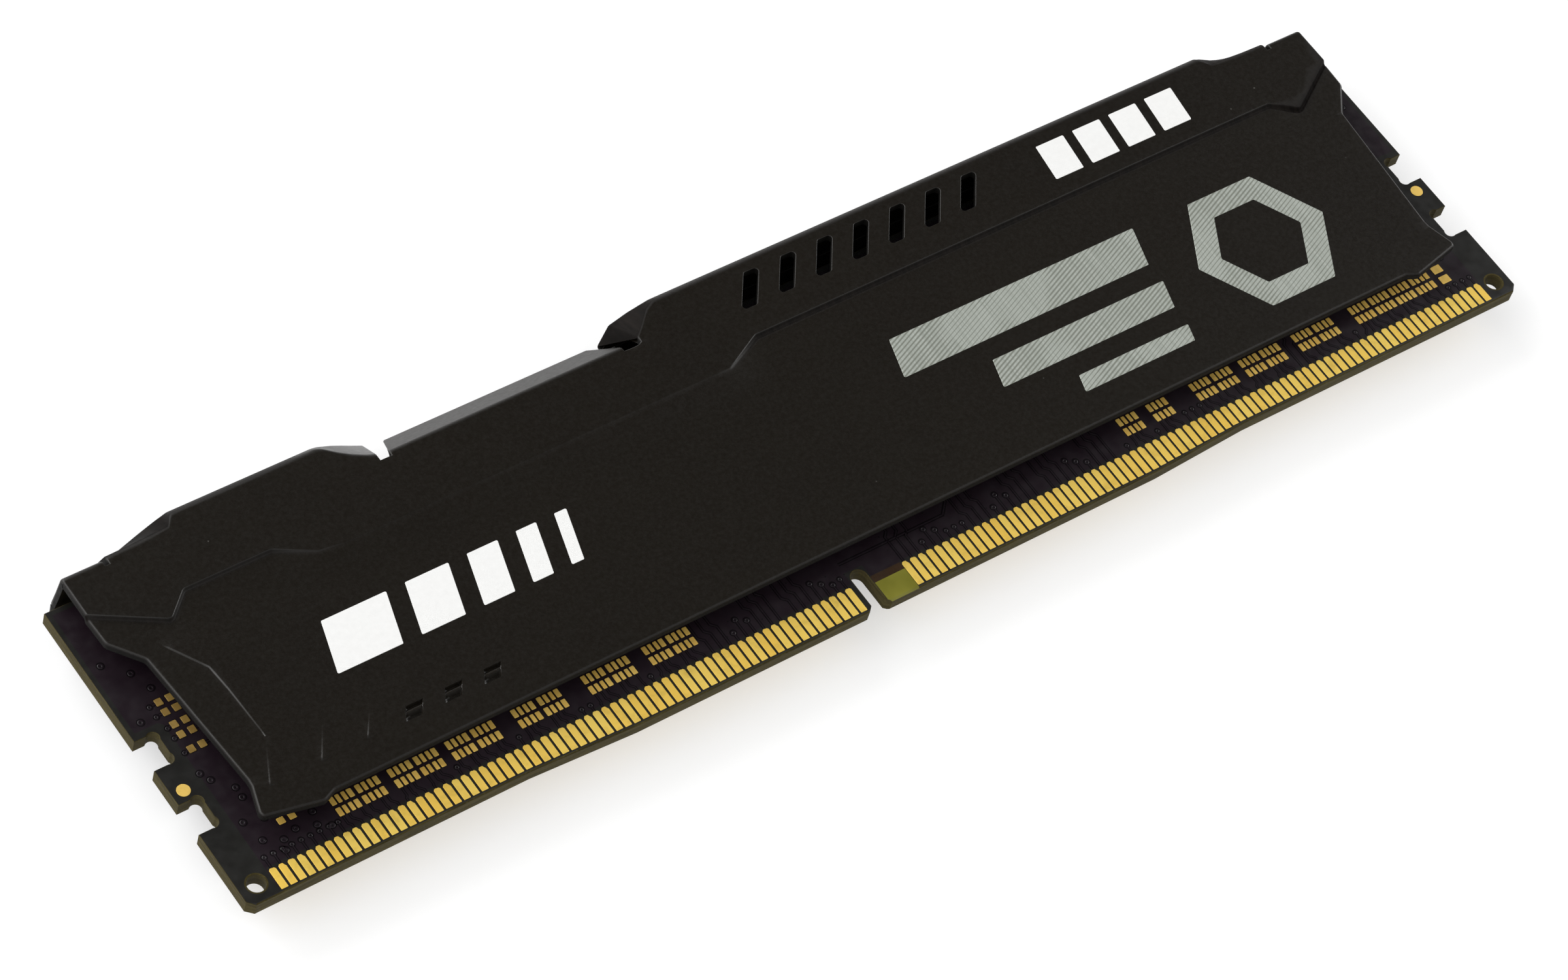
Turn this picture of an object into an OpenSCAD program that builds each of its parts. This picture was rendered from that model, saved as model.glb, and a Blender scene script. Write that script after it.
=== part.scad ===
// Desktop memory module: a 288-contact board between the two halves of a
// stamped sheet-metal heat spreader. It lies on its rear half with the
// front half up, the contact edge towards -Y and the long side along X.

/* [Board] */
// Length of the board between its two latch edges
board_length = 133.35; // [133.20:0.05:133.50]
// Height of the board from the lowest point of the contact edge
board_height = 31.25; // [31.10:0.05:31.40]
// Thickness of the laminate
board_thickness = 1.4; // [1.3:0.05:1.5]
// How far the two ends of the contact edge are stepped up
edge_step = 0.5; // [0.4:0.05:0.6]
// Chamfer at the two lower corners
corner_chamfer = 0.6; // [0.4:0.1:1.0]

/* [Latch notches and holes] */
// Depth of the four latch notches in the side edges
notch_depth = 1.95; // [1.85:0.05:2.10]
// Height of each latch notch
notch_height = 3.0; // [2.9:0.05:3.1]
// Bottom of the lower pair of notches
lower_notch_y = 8.0; // [7.9:0.05:8.1]
// Bottom of the upper pair of notches
upper_notch_y = 14.6; // [14.5:0.05:14.7]
// Radius of the routed relief in each inner notch corner
notch_relief_r = 0.55; // [0.45:0.05:0.60]
// Radius of the hole in each lower corner
corner_hole_r = 0.8; // [0.75:0.05:0.85]
// Distance of each corner hole from the side edge
corner_hole_x = 1.6; // [1.55:0.05:1.70]
// Height of each corner hole
corner_hole_y = 2.15; // [2.10:0.05:2.30]
// Centre of the key slot along the contact edge
key_x = 61.05; // [61.00:0.05:61.10]
// Width of the key slot
key_width = 1.5; // [1.45:0.05:1.55]
// Depth of the key slot
key_depth = 3.95; // [3.85:0.05:4.05]

/* [Edge contacts] */
// Distance between neighbouring contacts
contact_pitch = 0.85; // [0.85]
// Width of a contact
contact_width = 0.62; // [0.56:0.02:0.64]
// Top of the contacts
contact_top = 2.75; // [2.6:0.05:2.8]
// Bare laminate left below each contact
contact_margin = 0.25; // [0.2:0.05:0.4]
// Centre of the first contact in the short group
short_group_x = 3.35; // [3.30:0.05:3.40]
// Contacts in the short group
short_group_count = 67; // [67]
// Centre of the first contact in the long group
long_group_x = 65.40; // [65.35:0.05:65.45]
// Contacts in the long group
long_group_count = 77; // [77]
// Height of the plated metal over the laminate
plating = 0.04; // [0.03:0.01:0.05]

/* [Heat spreader] */
// Thickness of the sheet metal
sheet = 0.7; // [0.6:0.05:0.8]
// Outer face of the front half over the board
front_rise = 2.9; // [2.8:0.05:3.0]
// Outer face of the rear half behind the board
rear_rise = 2.9; // [2.8:0.05:3.0]
// How far the upper strip stands over the lower field
strip_relief = 0.35; // [0.25:0.05:0.40]
// Left end of the spreader from the board's left edge
spreader_left = 1.6; // [1.4:0.1:1.8]
// Lower edge of the spreader
spreader_bottom = 5.3; // [5.2:0.05:5.4]
// Top of the spreader
spreader_top = 33.95; // [33.80:0.05:34.10]
// Depth of the three small pockets
pocket_depth = 0.3; // [0.2:0.05:0.4]

/* [Vents] */
// Number of slanted vents through the upper strip
vent_count = 7; // [5:1:7]
// Distance between vents
vent_pitch = 3.95; // [3.8:0.05:4.0]
// Width of a vent along the module
vent_width = 1.42; // [1.2:0.05:1.6]
// Height of a vent
vent_height = 3.15; // [3.0:0.05:3.2]
// Sideways lean of a vent over its height
vent_lean = 2.5; // [2.2:0.1:2.6]

/* [Memory packages] */
// Width of a memory package along the module
dram_w = 7.5; // [7.4:0.1:8.0]
// Height of a memory package up the board
dram_h = 11.0; // [10.6:0.1:11.4]
// Thickness of the package body
dram_body = 0.8; // [0.7:0.05:0.85]
// Height of the solder balls
ball_h = 0.3; // [0.25:0.05:0.35]
// Diameter of the solder balls
ball_d = 0.44; // [0.40:0.02:0.48]
// Distance between memory packages
dram_pitch = 12.6; // [12.0:0.1:12.8]

/* [Hidden] */

e = 0.01;
mid_x = board_length / 2;
overall_y = max(spreader_top, board_height);
front_z = front_rise;                      // outer face of the upper strip
field_z = front_rise - strip_relief;       // outer face of the lower field
rear_z = -board_thickness - rear_rise;     // outer face of the rear half
board_rear = -board_thickness;
rear_inner = rear_z + sheet;
roof_rear_z = -1.6;                        // free edge of the folded roof
spreader_right = board_length - spreader_left;
function mx(x) = board_length - x;
function mirrored(pts) = [for (p = pts) [mx(p[0]), p[1]]];

// Board frame: X from the left edge, Y from the lowest edge, Z from the
// board's front face. The part's own origin is the middle of its base.
module in_frame() {
    translate([-mid_x, -overall_y / 2, -rear_z]) children();
}

// ---------------------------------------------------------------- board

// Height of the contact edge at x: level in the middle, stepped up at the ends.
function edge_y(x) =
    x < 26.3 ? edge_step :
    x < 36.5 ? edge_step * (36.5 - x) / 10.2 :
    x < 90.9 ? 0 :
    x < 101.1 ? edge_step * (x - 90.9) / 10.2 : edge_step;

module board_outline() {
    c = corner_chamfer;
    polygon([
        [c, edge_step], [26.3, edge_step], [36.5, 0],
        [key_x - key_width / 2 - 0.45, 0], [key_x - key_width / 2, 0.45],
        [key_x + key_width / 2, 0.45], [key_x + key_width / 2 + 0.45, 0],
        [90.9, 0], [101.1, edge_step],
        [board_length - c, edge_step], [board_length, edge_step + c],
        [board_length, board_height], [0, board_height], [0, edge_step + c]]);
}

// One latch notch opening to the left, with its two routed corner reliefs.
module latch_notch(y) {
    r = notch_relief_r;
    translate([-1, y]) square([1 + notch_depth, notch_height]);
    translate([notch_depth - r + 0.1, y + notch_height - r + 0.18]) circle(r = r, $fn = 40);
    translate([notch_depth - r + 0.1, y + r - 0.04]) circle(r = r, $fn = 40);
}

module latch_notches() {
    for (y = [lower_notch_y, upper_notch_y]) latch_notch(y);
}

module key_slot() {
    translate([key_x - key_width / 2, -1])
        square([key_width, 1 + key_depth - key_width / 2]);
    translate([key_x, key_depth - key_width / 2]) circle(d = key_width, $fn = 48);
}

module pcb() {
    color("#1d1a20") in_frame() translate([0, 0, board_rear])
        linear_extrude(height = board_thickness) difference() {
            board_outline();
            latch_notches();
            translate([board_length, 0]) mirror([1, 0]) latch_notches();
            key_slot();
            for (x = [corner_hole_x, mx(corner_hole_x)])
                translate([x, corner_hole_y]) circle(r = corner_hole_r, $fn = 48);
        }
}

// ------------------------------------------------------------- plating

// One contact: a flat bar with a narrower shoulder where its track leaves.
module contact(y0) {
    w = contact_width / 2;
    linear_extrude(height = plating)
        polygon([[-w, y0], [w, y0], [w, contact_top - 0.22], [w - 0.16, contact_top],
                 [-w + 0.1, contact_top], [-w, contact_top - 0.16]]);
}

module contact_rows() {
    for (i = [0:short_group_count - 1])
        let (x = short_group_x + i * contact_pitch)
            translate([x, 0, 0]) contact(edge_y(x) + contact_margin);
    for (i = [0:long_group_count - 1])
        let (x = long_group_x + i * contact_pitch)
            translate([x, 0, 0]) contact(edge_y(x) + contact_margin);
}

module contacts_front() {
    color("#e3b04b") in_frame() contact_rows();
}

module contacts_rear() {
    color("#e3b04b") in_frame() translate([0, 0, board_rear - plating]) contact_rows();
}

// Centres of the four-way array positions above the contacts.
array_x = [11.62, 14.06, 17.10, 19.54, 22.55, 24.99, 28.90, 31.40, 35.74, 38.16,
           41.75, 44.17, 91.80, 95.15, 100.00, 102.45, 105.62, 108.04, 111.75,
           114.20, 118.40, 120.80, 123.20, 125.60];
array_y = 5.08;
// Heights of the five empty two-land positions beside the left edge.
side_land_y = [14.98, 16.50, 17.55, 18.85, 19.88];

module flat_land(x, y, w, h) {
    translate([x - w / 2, y - h / 2, 0]) cube([w, h, plating]);
}

module component_lands_front() {
    color("#d8a544") in_frame() {
        for (x = array_x, r = [-1, 1], k = [-1.5, -0.5, 0.5, 1.5])
            flat_land(x + k * 0.555, array_y + r * 0.55, abs(k) > 1 ? 0.44 : 0.35, 0.8);
        for (y = side_land_y, x = [3.63, 4.64]) flat_land(x, y, 0.62, 0.68);
        for (x = [6.3, 7.3]) flat_land(x, 6.05, 0.62, 0.62);
        for (r = [-1, 1]) flat_land(127.8, array_y + r * 0.6, 1.05, 0.8);
        for (p = [[1.08, 12.0], [132.0, 13.55]])
            translate([p[0], p[1], 0]) cylinder(h = plating, r = 0.575, $fn = 40);
    }
}

// ---------------------------------------------------------- rear parts

function dram_x(i) = mid_x + (i < 4 ? -(14.25 + (3 - i) * dram_pitch) : 14.25 + (i - 4) * dram_pitch);
dram_y = 17.6;

// Memory package with the shallow dimple of its first ball.
module dram(i) {
    color("#26262a") in_frame() translate([dram_x(i), dram_y, board_rear - ball_h - dram_body])
        difference() {
            translate([-dram_w / 2, -dram_h / 2, 0]) cube([dram_w, dram_h, dram_body]);
            translate([-dram_w / 2 + 0.9, dram_h / 2 - 0.9, -e])
                cylinder(h = 0.06, r = 0.35, $fn = 32);
        }
}

// Three columns of balls down each side of every package, thirteen rows.
module dram_solder_balls() {
    color("#b9bcc0") in_frame()
        for (i = [0:7], s = [-1, 1], c = [2, 3, 4], r = [-6:6])
            translate([dram_x(i) + s * c * 0.8, dram_y + r * 0.8, board_rear - ball_h])
                cylinder(h = ball_h, d = ball_d, $fn = 16);
}

// Block of size [w, h, t] soldered to the rear face.
module rear_block(x, y, w, h, t) {
    translate([x - w / 2, y - h / 2, board_rear - t]) cube([w, h, t]);
}

module spd_eeprom() {
    color("#222226") in_frame() rear_block(mid_x, 23.5, 3.0, 2.0, 0.75);
}

module resistor_arrays() {
    color("#17171a") in_frame() for (x = array_x) rear_block(x, array_y, 2.0, 1.0, 0.45);
}

module decoupling_capacitors() {
    color("#9a7b55") in_frame() {
        for (i = [0:7], k = [-1:1]) {
            rear_block(dram_x(i) + k * 2.4, 25.6, 1.0, 0.5, 0.5);
            rear_block(dram_x(i) + k * 2.4, 9.6, 1.0, 0.5, 0.5);
        }
        for (k = [-2:2]) rear_block(mid_x + k * 1.8, 27.6, 1.0, 0.5, 0.5);
    }
}

module bulk_capacitors() {
    color("#8d6f4a") in_frame()
        for (x = [mid_x - 5.2, mid_x + 5.2], y = [12.5, 18.5]) rear_block(x, y, 2.0, 1.25, 1.0);
}

module termination_resistors() {
    color("#141416") in_frame()
        for (k = [0:7]) rear_block(mid_x - 5.6 + k * 1.6, 8.6, 0.5, 1.0, 0.35);
}

// -------------------------------------------------------- thermal pads

module pad_block(x0, x1, y0, y1, z0, z1) {
    translate([x0, y0, z0]) cube([x1 - x0, y1 - y0, z1 - z0]);
}

module front_thermal_pad_left() {
    color("#8b9099") in_frame() pad_block(11, 57, 9.5, 22.5, 0, field_z - sheet);
}

module front_thermal_pad_right() {
    color("#8b9099") in_frame() pad_block(mx(57), mx(11), 9.5, 22.5, 0, field_z - sheet);
}

module rear_thermal_pad_left() {
    color("#8b9099") in_frame()
        pad_block(9.8, 57.2, 12.4, 22.8, rear_inner, board_rear - ball_h - dram_body);
}

module rear_thermal_pad_right() {
    color("#8b9099") in_frame()
        pad_block(mx(57.2), mx(9.8), 12.4, 22.8, rear_inner, board_rear - ball_h - dram_body);
}

// ------------------------------------------------------- heat spreader

// Lower left side of the outline, from the bottom edge up to the strip.
side_pts = [[10.5, spreader_bottom], [9.3, spreader_bottom - 0.5], [4.2, 5.85], [4.1, 6.3],
            [4.85, 8.65], [4.9, 9.3], [3.8, 22.5], [spreader_left + 0.1, 25.2]];

// Line along which the strip steps down to the field, left to right.
ridge = [[spreader_left, 28.0], [7.5, 24.6], [9.7, 26.75], [17.9, 26.75], [21.0, 24.9],
         [62.5, 24.6], [66.1, 26.35], [123.6, 26.35], [125.85, 24.6], [spreader_right, 28.0]];

function reversed(pts) = [for (i = [len(pts) - 1:-1:0]) pts[i]];

module field_outline() {
    polygon(concat(mirrored(side_pts), reversed(ridge), reversed(side_pts)));
}

// Top of the flat part of the strip, under the folded cap, left to right.
strip_top = [[spreader_left, 31.5], [5.2, 31.5], [5.2, 31.4], [11.8, 31.4], [13.2, 32.9],
             [26.2, 32.9], [28.0, 31.0], [30.4, 30.1], [56.6, 30.1], [60.8, 32.9],
             [120.2, 32.9], [121.6, 31.4], [128.2, 31.4], [128.2, 31.5], [spreader_right, 31.5]];

// Stations along the cap: [x, height of the front bend, depth of the roof bend].
// The bend height and depth place the sloping facet between front and roof.
cap_left = [[6.0, 32.2, -1.5], [7.9, 32.2, -0.75], [9.9, 32.25, 0.7], [11.8, 32.3, 2.0],
            [12.6, 33.35, 2.3], [26.4, 33.35, 2.3], [27.3, 32.6, 2.0], [28.3, 31.75, 1.4],
            [29.4, 31.0, 0.75], [30.6, 30.55, 0.1]];
cap_middle = [[31.9, 30.3, -1.5], [55.0, 30.3, -1.5]];
cap_right = [[56.3, 30.5, 1.0], [57.3, 31.1, 1.45], [58.6, 32.25, 1.95], [60.2, 33.35, 2.3],
             [mx(12.6), 33.35, 2.3], [mx(11.8), 32.3, 2.0], [mx(9.9), 32.25, 0.7],
             [mx(7.9), 32.2, -0.75], [mx(6.0), 32.2, -1.5]];

// Closed section of the bent sheet at one station: outer line, then inner line.
// Its root is a hair thinner than the strip it grows out of.
root = 0.03;
function cap_section(s) =
    let (x = s[0], yf = s[1], zr = s[2], t = sheet,
         dy = spreader_top - yf, dz = zr - front_z, l = sqrt(dy * dy + dz * dz),
         ny = -dz / l, nz = dy / l,
         yb = yf - t * (1 - nz) / ny,
         zc0 = front_z - (t + (spreader_top - t - yf) * ny) / nz,
         zc = max(zc0, roof_rear_z + 0.06),
         yc = zc0 > roof_rear_z + 0.06 ? spreader_top - t
              : yf + ((front_z - zc) * nz - t) / ny,
         yd = zc0 > roof_rear_z + 0.06 ? spreader_top - t
              : yf + ((front_z - roof_rear_z) * nz - t) / ny,
         ya = yf - 1.6)
    [[x, ya, front_z - root], [x, yf, front_z], [x, spreader_top, zr],
     [x, spreader_top, roof_rear_z], [x, yd, roof_rear_z], [x, yc, zc],
     [x, yb, front_z - t], [x, ya, front_z - t + root]];

// Sheet skinned over a row of stations.
module cap(stations) {
    n = len(stations);
    m = 8;
    last = [m, m, m] * (n - 1);
    pts = [for (s = stations) each cap_section(s)];
    faces = concat(
        [for (q = [0:2]) each [[7 - q, 6 - q, q + 1], [7 - q, q + 1, q]]],
        [for (q = [0:2]) each [[q + 1, 6 - q, 7 - q] + last, [q, q + 1, 7 - q] + last]],
        [for (i = [0:n - 2], k = [0:m - 1]) [(i + 1) * m + (k + 1) % m, (i + 1) * m + k, i * m + k]],
        [for (i = [0:n - 2], k = [0:m - 1]) [i * m + (k + 1) % m, (i + 1) * m + (k + 1) % m, i * m + k]]);
    polyhedron(points = pts, faces = faces);
}

// Short roof over each end of the module.
module end_roof(x0, x1) {
    t = sheet;
    translate([x0, 0, 0]) rotate([90, 0, 90]) linear_extrude(height = x1 - x0)
        polygon([[30.9, front_z - t], [30.9, front_z], [31.75, front_z], [32.1, front_z - 0.35],
                 [32.85, roof_rear_z], [32.85 - t, roof_rear_z], [31.4, front_z - t]]);
}

module slanted(x, y, w, h, lean, z0, z1) {
    translate([x, y, z0]) linear_extrude(height = z1 - z0)
        polygon([[0, 0], [w, 0], [w + lean, h], [lean, h]]);
}

module front_heat_spreader() {
    color("#1b1b1a") in_frame() difference() {
        union() {
            translate([0, 0, field_z - sheet]) linear_extrude(height = sheet) field_outline();
            translate([0, 0, front_z - sheet]) linear_extrude(height = sheet)
                polygon(concat(ridge, reversed(strip_top)));
            end_roof(spreader_left, 5.2);
            end_roof(mx(5.2), spreader_right);
            cap(cap_left);
            cap(cap_middle);
            cap(cap_right);
        }
        for (i = [0:vent_count - 1])
            slanted(66.6 + i * vent_pitch, 29.0, vent_width, vent_height, vent_lean,
                    front_z - sheet - 1, front_z + 1);
        for (i = [0:2])
            slanted(18.8 + i * 3.72, 8.05, 1.62, 1.1, 0.68, field_z - pocket_depth, field_z + 1);
    }
}

module rear_heat_spreader() {
    label_pocket = 0.15;
    roof_y = spreader_top;
    end_y = 32.85;
    lip = -1.75;   // front edge of the rear half's own folded lip
    color("#1b1b1a") in_frame() difference() {
        union() {
            translate([0, 0, rear_z]) linear_extrude(height = sheet)
                polygon(concat(
                    mirrored(side_pts),
                    [[spreader_right, 28.0], [spreader_right, end_y], [mx(5.2), end_y],
                     [mx(5.2), 31.6], [mx(6.0), 31.6], [mx(6.0), roof_y],
                     [57.2, roof_y], [57.2, 32.8], [54.2, 32.8], [54.2, roof_y],
                     [36.2, roof_y], [36.2, 32.8], [31.4, 32.8], [31.4, roof_y],
                     [6.0, roof_y], [6.0, 31.6], [5.2, 31.6], [5.2, end_y],
                     [spreader_left, end_y], [spreader_left, 28.0]],
                    reversed(side_pts)));
            for (s = [[6.0, 31.4, roof_y], [36.2, 54.2, roof_y], [57.2, mx(6.0), roof_y],
                      [spreader_left, 5.2, end_y], [mx(5.2), spreader_right, end_y]])
                translate([s[0], s[2] - sheet, rear_z]) cube([s[1] - s[0], sheet, lip - rear_z]);
        }
        translate([34, 8, rear_z - 1]) cube([66, 21, 1 + label_pocket]);
    }
}

// --------------------------------------------------------------- print

// Plain slanted bars and blocks printed in white.
module white_print() {
    t = 0.03;
    color("#f2f2ef") in_frame() {
        for (b = [[16.4, 6.2], [24.4, 4.2], [30.4, 3.0], [35.2, 2.0], [39.0, 1.2]])
            slanted(b[0], 14.2, b[1], 4.9, 1.5, field_z, field_z + t);
        for (i = [0:3])
            slanted(100.3 + i * 4.15, 28.1, 3.1, 3.8, 0.5, front_z, front_z + t);
    }
}

// Three stacked bars and a six-sided ring in brushed silver.
module silver_print() {
    t = 0.03;
    color("#b9bbb6") in_frame() {
        slanted(75.2, 16.9, 27.0, 3.9, 1.2, field_z, field_z + t);
        slanted(82.4, 12.1, 19.0, 2.8, 0.86, field_z, field_z + t);
        slanted(88.6, 8.4, 12.2, 1.7, 0.52, field_z, field_z + t);
        translate([113.2, 14.4, field_z]) linear_extrude(height = t) difference() {
            circle(r = 7.2, $fn = 6);
            circle(r = 4.6, $fn = 6);
        }
    }
}

module rear_label() {
    color("#e9e9e4") in_frame() translate([34.5, 8.5, rear_z + 0.05]) cube([65, 20, 0.1]);
}

pcb();
contacts_front();
contacts_rear();
component_lands_front();
dram(0);  // dram_u1
dram(1);  // dram_u2
dram(2);  // dram_u3
dram(3);  // dram_u4
dram(4);  // dram_u5
dram(5);  // dram_u6
dram(6);  // dram_u7
dram(7);  // dram_u8
dram_solder_balls();
spd_eeprom();
resistor_arrays();
decoupling_capacitors();
bulk_capacitors();
termination_resistors();
front_thermal_pad_left();
front_thermal_pad_right();
rear_thermal_pad_left();
rear_thermal_pad_right();
front_heat_spreader();
rear_heat_spreader();
white_print();
silver_print();
rear_label();
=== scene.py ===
import math

import bpy
import numpy as np
from mathutils import Matrix, Vector
from mathutils.geometry import delaunay_2d_cdt


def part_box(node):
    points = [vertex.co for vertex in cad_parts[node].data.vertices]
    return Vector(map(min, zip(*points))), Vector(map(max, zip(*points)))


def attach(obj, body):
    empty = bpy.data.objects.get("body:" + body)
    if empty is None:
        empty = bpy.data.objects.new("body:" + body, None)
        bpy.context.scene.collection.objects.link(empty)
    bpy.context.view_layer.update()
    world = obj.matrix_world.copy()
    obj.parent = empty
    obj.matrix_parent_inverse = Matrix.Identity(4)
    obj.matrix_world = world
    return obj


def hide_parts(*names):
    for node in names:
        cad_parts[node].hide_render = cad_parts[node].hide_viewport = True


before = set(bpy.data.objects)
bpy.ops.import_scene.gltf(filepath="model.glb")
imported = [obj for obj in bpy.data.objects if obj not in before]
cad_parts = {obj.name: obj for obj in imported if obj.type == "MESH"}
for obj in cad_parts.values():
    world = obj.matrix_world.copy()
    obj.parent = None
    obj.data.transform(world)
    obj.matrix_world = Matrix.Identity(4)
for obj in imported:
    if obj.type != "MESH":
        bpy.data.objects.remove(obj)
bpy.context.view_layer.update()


# Board coordinates in millimetres: X from the board's left edge, Y from its
# lowest edge, Z from its front face. The row frame is this, moved and scaled.
pcb_lo, pcb_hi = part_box("pcb")
RX = (pcb_lo.x + pcb_hi.x) / 2 * 1e3
RY = pcb_lo.y * 1e3
RZ = pcb_hi.z * 1e3
L = (pcb_hi.x - pcb_lo.x) * 1e3
H = (pcb_hi.y - pcb_lo.y) * 1e3
BT = (pcb_hi.z - pcb_lo.z) * 1e3
fs_lo, fs_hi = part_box("front_heat_spreader")
rs_lo, rs_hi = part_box("rear_heat_spreader")
FZ = fs_hi.z * 1e3 - RZ            # outer face of the front half's strip
RB = rs_lo.z * 1e3 - RZ            # outer face of the rear half
TOP = fs_hi.y * 1e3 - RY           # top of the spreader
SL = fs_lo.x * 1e3 - pcb_lo.x * 1e3  # left end of the spreader
T = 0.7                            # sheet thickness
FIELD = 0.35                       # strip over field


def mx(x):
    return L - x


def to_row(v):
    v = np.asarray(v, float).reshape(-1, 3)
    out = np.empty_like(v)
    out[:, 0] = (v[:, 0] - L / 2 + RX) * 1e-3
    out[:, 1] = (v[:, 1] + RY) * 1e-3
    out[:, 2] = (v[:, 2] + RZ) * 1e-3
    return out


# --------------------------------------------------------------- mesh helpers

def make(name, verts, faces, mats, index=None, angle=35, weighted=True, wear_and_highlight=None, tint=None, shade=None, merge=None):
    """An object from board-frame points in millimetres."""
    me = bpy.data.meshes.new(name)
    me.from_pydata(to_row(verts).tolist(), [], [tuple(int(i) for i in f) for f in faces])
    for m in mats:
        me.materials.append(m)
    if index is not None:
        me.polygons.foreach_set("material_index", np.asarray(index, np.int32))
    if wear_and_highlight is not None:
        a = me.attributes.new("wear_and_highlight", "FLOAT", "POINT")
        a.data.foreach_set("value", np.asarray(wear_and_highlight, np.float32))
    if tint is not None:
        a = me.attributes.new("tint", "FLOAT", "POINT")
        a.data.foreach_set("value", np.asarray(tint, np.float32))
    if shade is not None:
        a = me.attributes.new("shade", "FLOAT", "POINT")
        a.data.foreach_set("value", np.asarray(shade, np.float32))
    me.update()
    if merge:
        import bmesh
        bm = bmesh.new()
        bm.from_mesh(me)
        bmesh.ops.remove_doubles(bm, verts=bm.verts, dist=merge * 1e-3)
        bmesh.ops.recalc_face_normals(bm, faces=bm.faces)
        bm.to_mesh(me)
        bm.free()
    me.polygons.foreach_set("use_smooth", [True] * len(me.polygons))
    me.set_sharp_from_angle(angle=math.radians(angle))
    me.update()
    ob = bpy.data.objects.new(name, me)
    bpy.context.scene.collection.objects.link(ob)
    if weighted:
        w = ob.modifiers.new("weighted", "WEIGHTED_NORMAL")
        w.mode = "FACE_AREA"
        w.weight = 60
        w.keep_sharp = True
    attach(ob, "root")
    return ob


def seg_dist(p, a, b):
    """Distance of each point p from the segment a-b."""
    d = b - a
    l2 = max(float(d @ d), 1e-12)
    t = np.clip(((p - a) @ d) / l2, 0, 1)
    q = a + t[:, None] * d
    return np.hypot(*(p - q).T)


def line_dist(p, pts, closed=False):
    pts = np.asarray(pts, float)
    n = len(pts)
    best = np.full(len(p), 1e9)
    for i in range(n if closed else n - 1):
        best = np.minimum(best, seg_dist(p, pts[i], pts[(i + 1) % n]))
    return best


def inside(p, poly):
    poly = np.asarray(poly, float)
    x, y = p[:, 0], p[:, 1]
    r = np.zeros(len(p), bool)
    j = len(poly) - 1
    for i in range(len(poly)):
        xi, yi = poly[i]
        xj, yj = poly[j]
        hit = ((yi > y) != (yj > y))
        with np.errstate(divide="ignore", invalid="ignore"):
            r ^= hit & (x < (xj - xi) * (y - yi) / (yj - yi + 1e-30) + xi)
        j = i
    return r


def rounded(pts, r, n=5, closed=True):
    """pts with each corner replaced by an arc of radius r (or a list of radii)."""
    pts = [np.array(p, float) for p in pts]
    m = len(pts)
    rr = r if hasattr(r, "__len__") else [r] * m
    out = []
    for i in range(m):
        if not closed and i in (0, m - 1):
            out.append(tuple(pts[i]))
            continue
        a, b, c = pts[i - 1], pts[i], pts[(i + 1) % m]
        u, v = a - b, c - b
        lu, lv = np.hypot(*u), np.hypot(*v)
        u, v = u / lu, v / lv
        cosang = float(np.clip(u @ v, -1, 1))
        ang = math.acos(cosang)
        if rr[i] <= 0 or abs(math.pi - ang) < 0.02:
            out.append(tuple(b))
            continue
        t = min(rr[i] / math.tan(ang / 2), 0.45 * lu, 0.45 * lv)
        rad = t * math.tan(ang / 2)
        centre = b + (u + v) / np.hypot(*(u + v)) * (rad / math.sin(ang / 2))
        p0, p1 = b + u * t, b + v * t
        a0 = math.atan2(*(p0 - centre)[::-1])
        a1 = math.atan2(*(p1 - centre)[::-1])
        da = (a1 - a0 + math.pi) % (2 * math.pi) - math.pi
        k = max(2, int(math.ceil(n * abs(da) / (math.pi / 2))))
        for s in range(k + 1):
            q = a0 + da * s / k
            out.append((centre[0] + rad * math.cos(q), centre[1] + rad * math.sin(q)))
    return out


def offset(pts, d, closed=True):
    """Mitred offset to the left of the direction of travel by d."""
    p = np.asarray(pts, float)
    n = len(p)
    if closed:
        prev, nxt = np.roll(p, 1, 0), np.roll(p, -1, 0)
    else:
        prev, nxt = np.vstack([2 * p[0] - p[1], p[:-1]]), np.vstack([p[1:], 2 * p[-1] - p[-2]])
    e0, e1 = p - prev, nxt - p
    e0 /= np.maximum(np.hypot(*e0.T)[:, None], 1e-9)
    e1 /= np.maximum(np.hypot(*e1.T)[:, None], 1e-9)
    n0 = np.stack([-e0[:, 1], e0[:, 0]], 1)
    n1 = np.stack([-e1[:, 1], e1[:, 0]], 1)
    m = n0 + n1
    m /= np.maximum(np.hypot(*m.T)[:, None], 1e-9)
    c = np.clip((m * n0).sum(1), 0.35, 1)
    return p + m * (d / c)[:, None]


def resample(pts, step, closed=False):
    """Adds points along each straight stretch longer than step."""
    p = [np.array(q, float) for q in pts]
    out = []
    m = len(p)
    for i in range(m if closed else m - 1):
        a, b = p[i], p[(i + 1) % m]
        k = max(1, int(math.ceil(np.hypot(*(b - a)) / step)))
        for s in range(k):
            out.append(tuple(a + (b - a) * s / k))
    if not closed:
        out.append(tuple(p[-1]))
    return out


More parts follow.
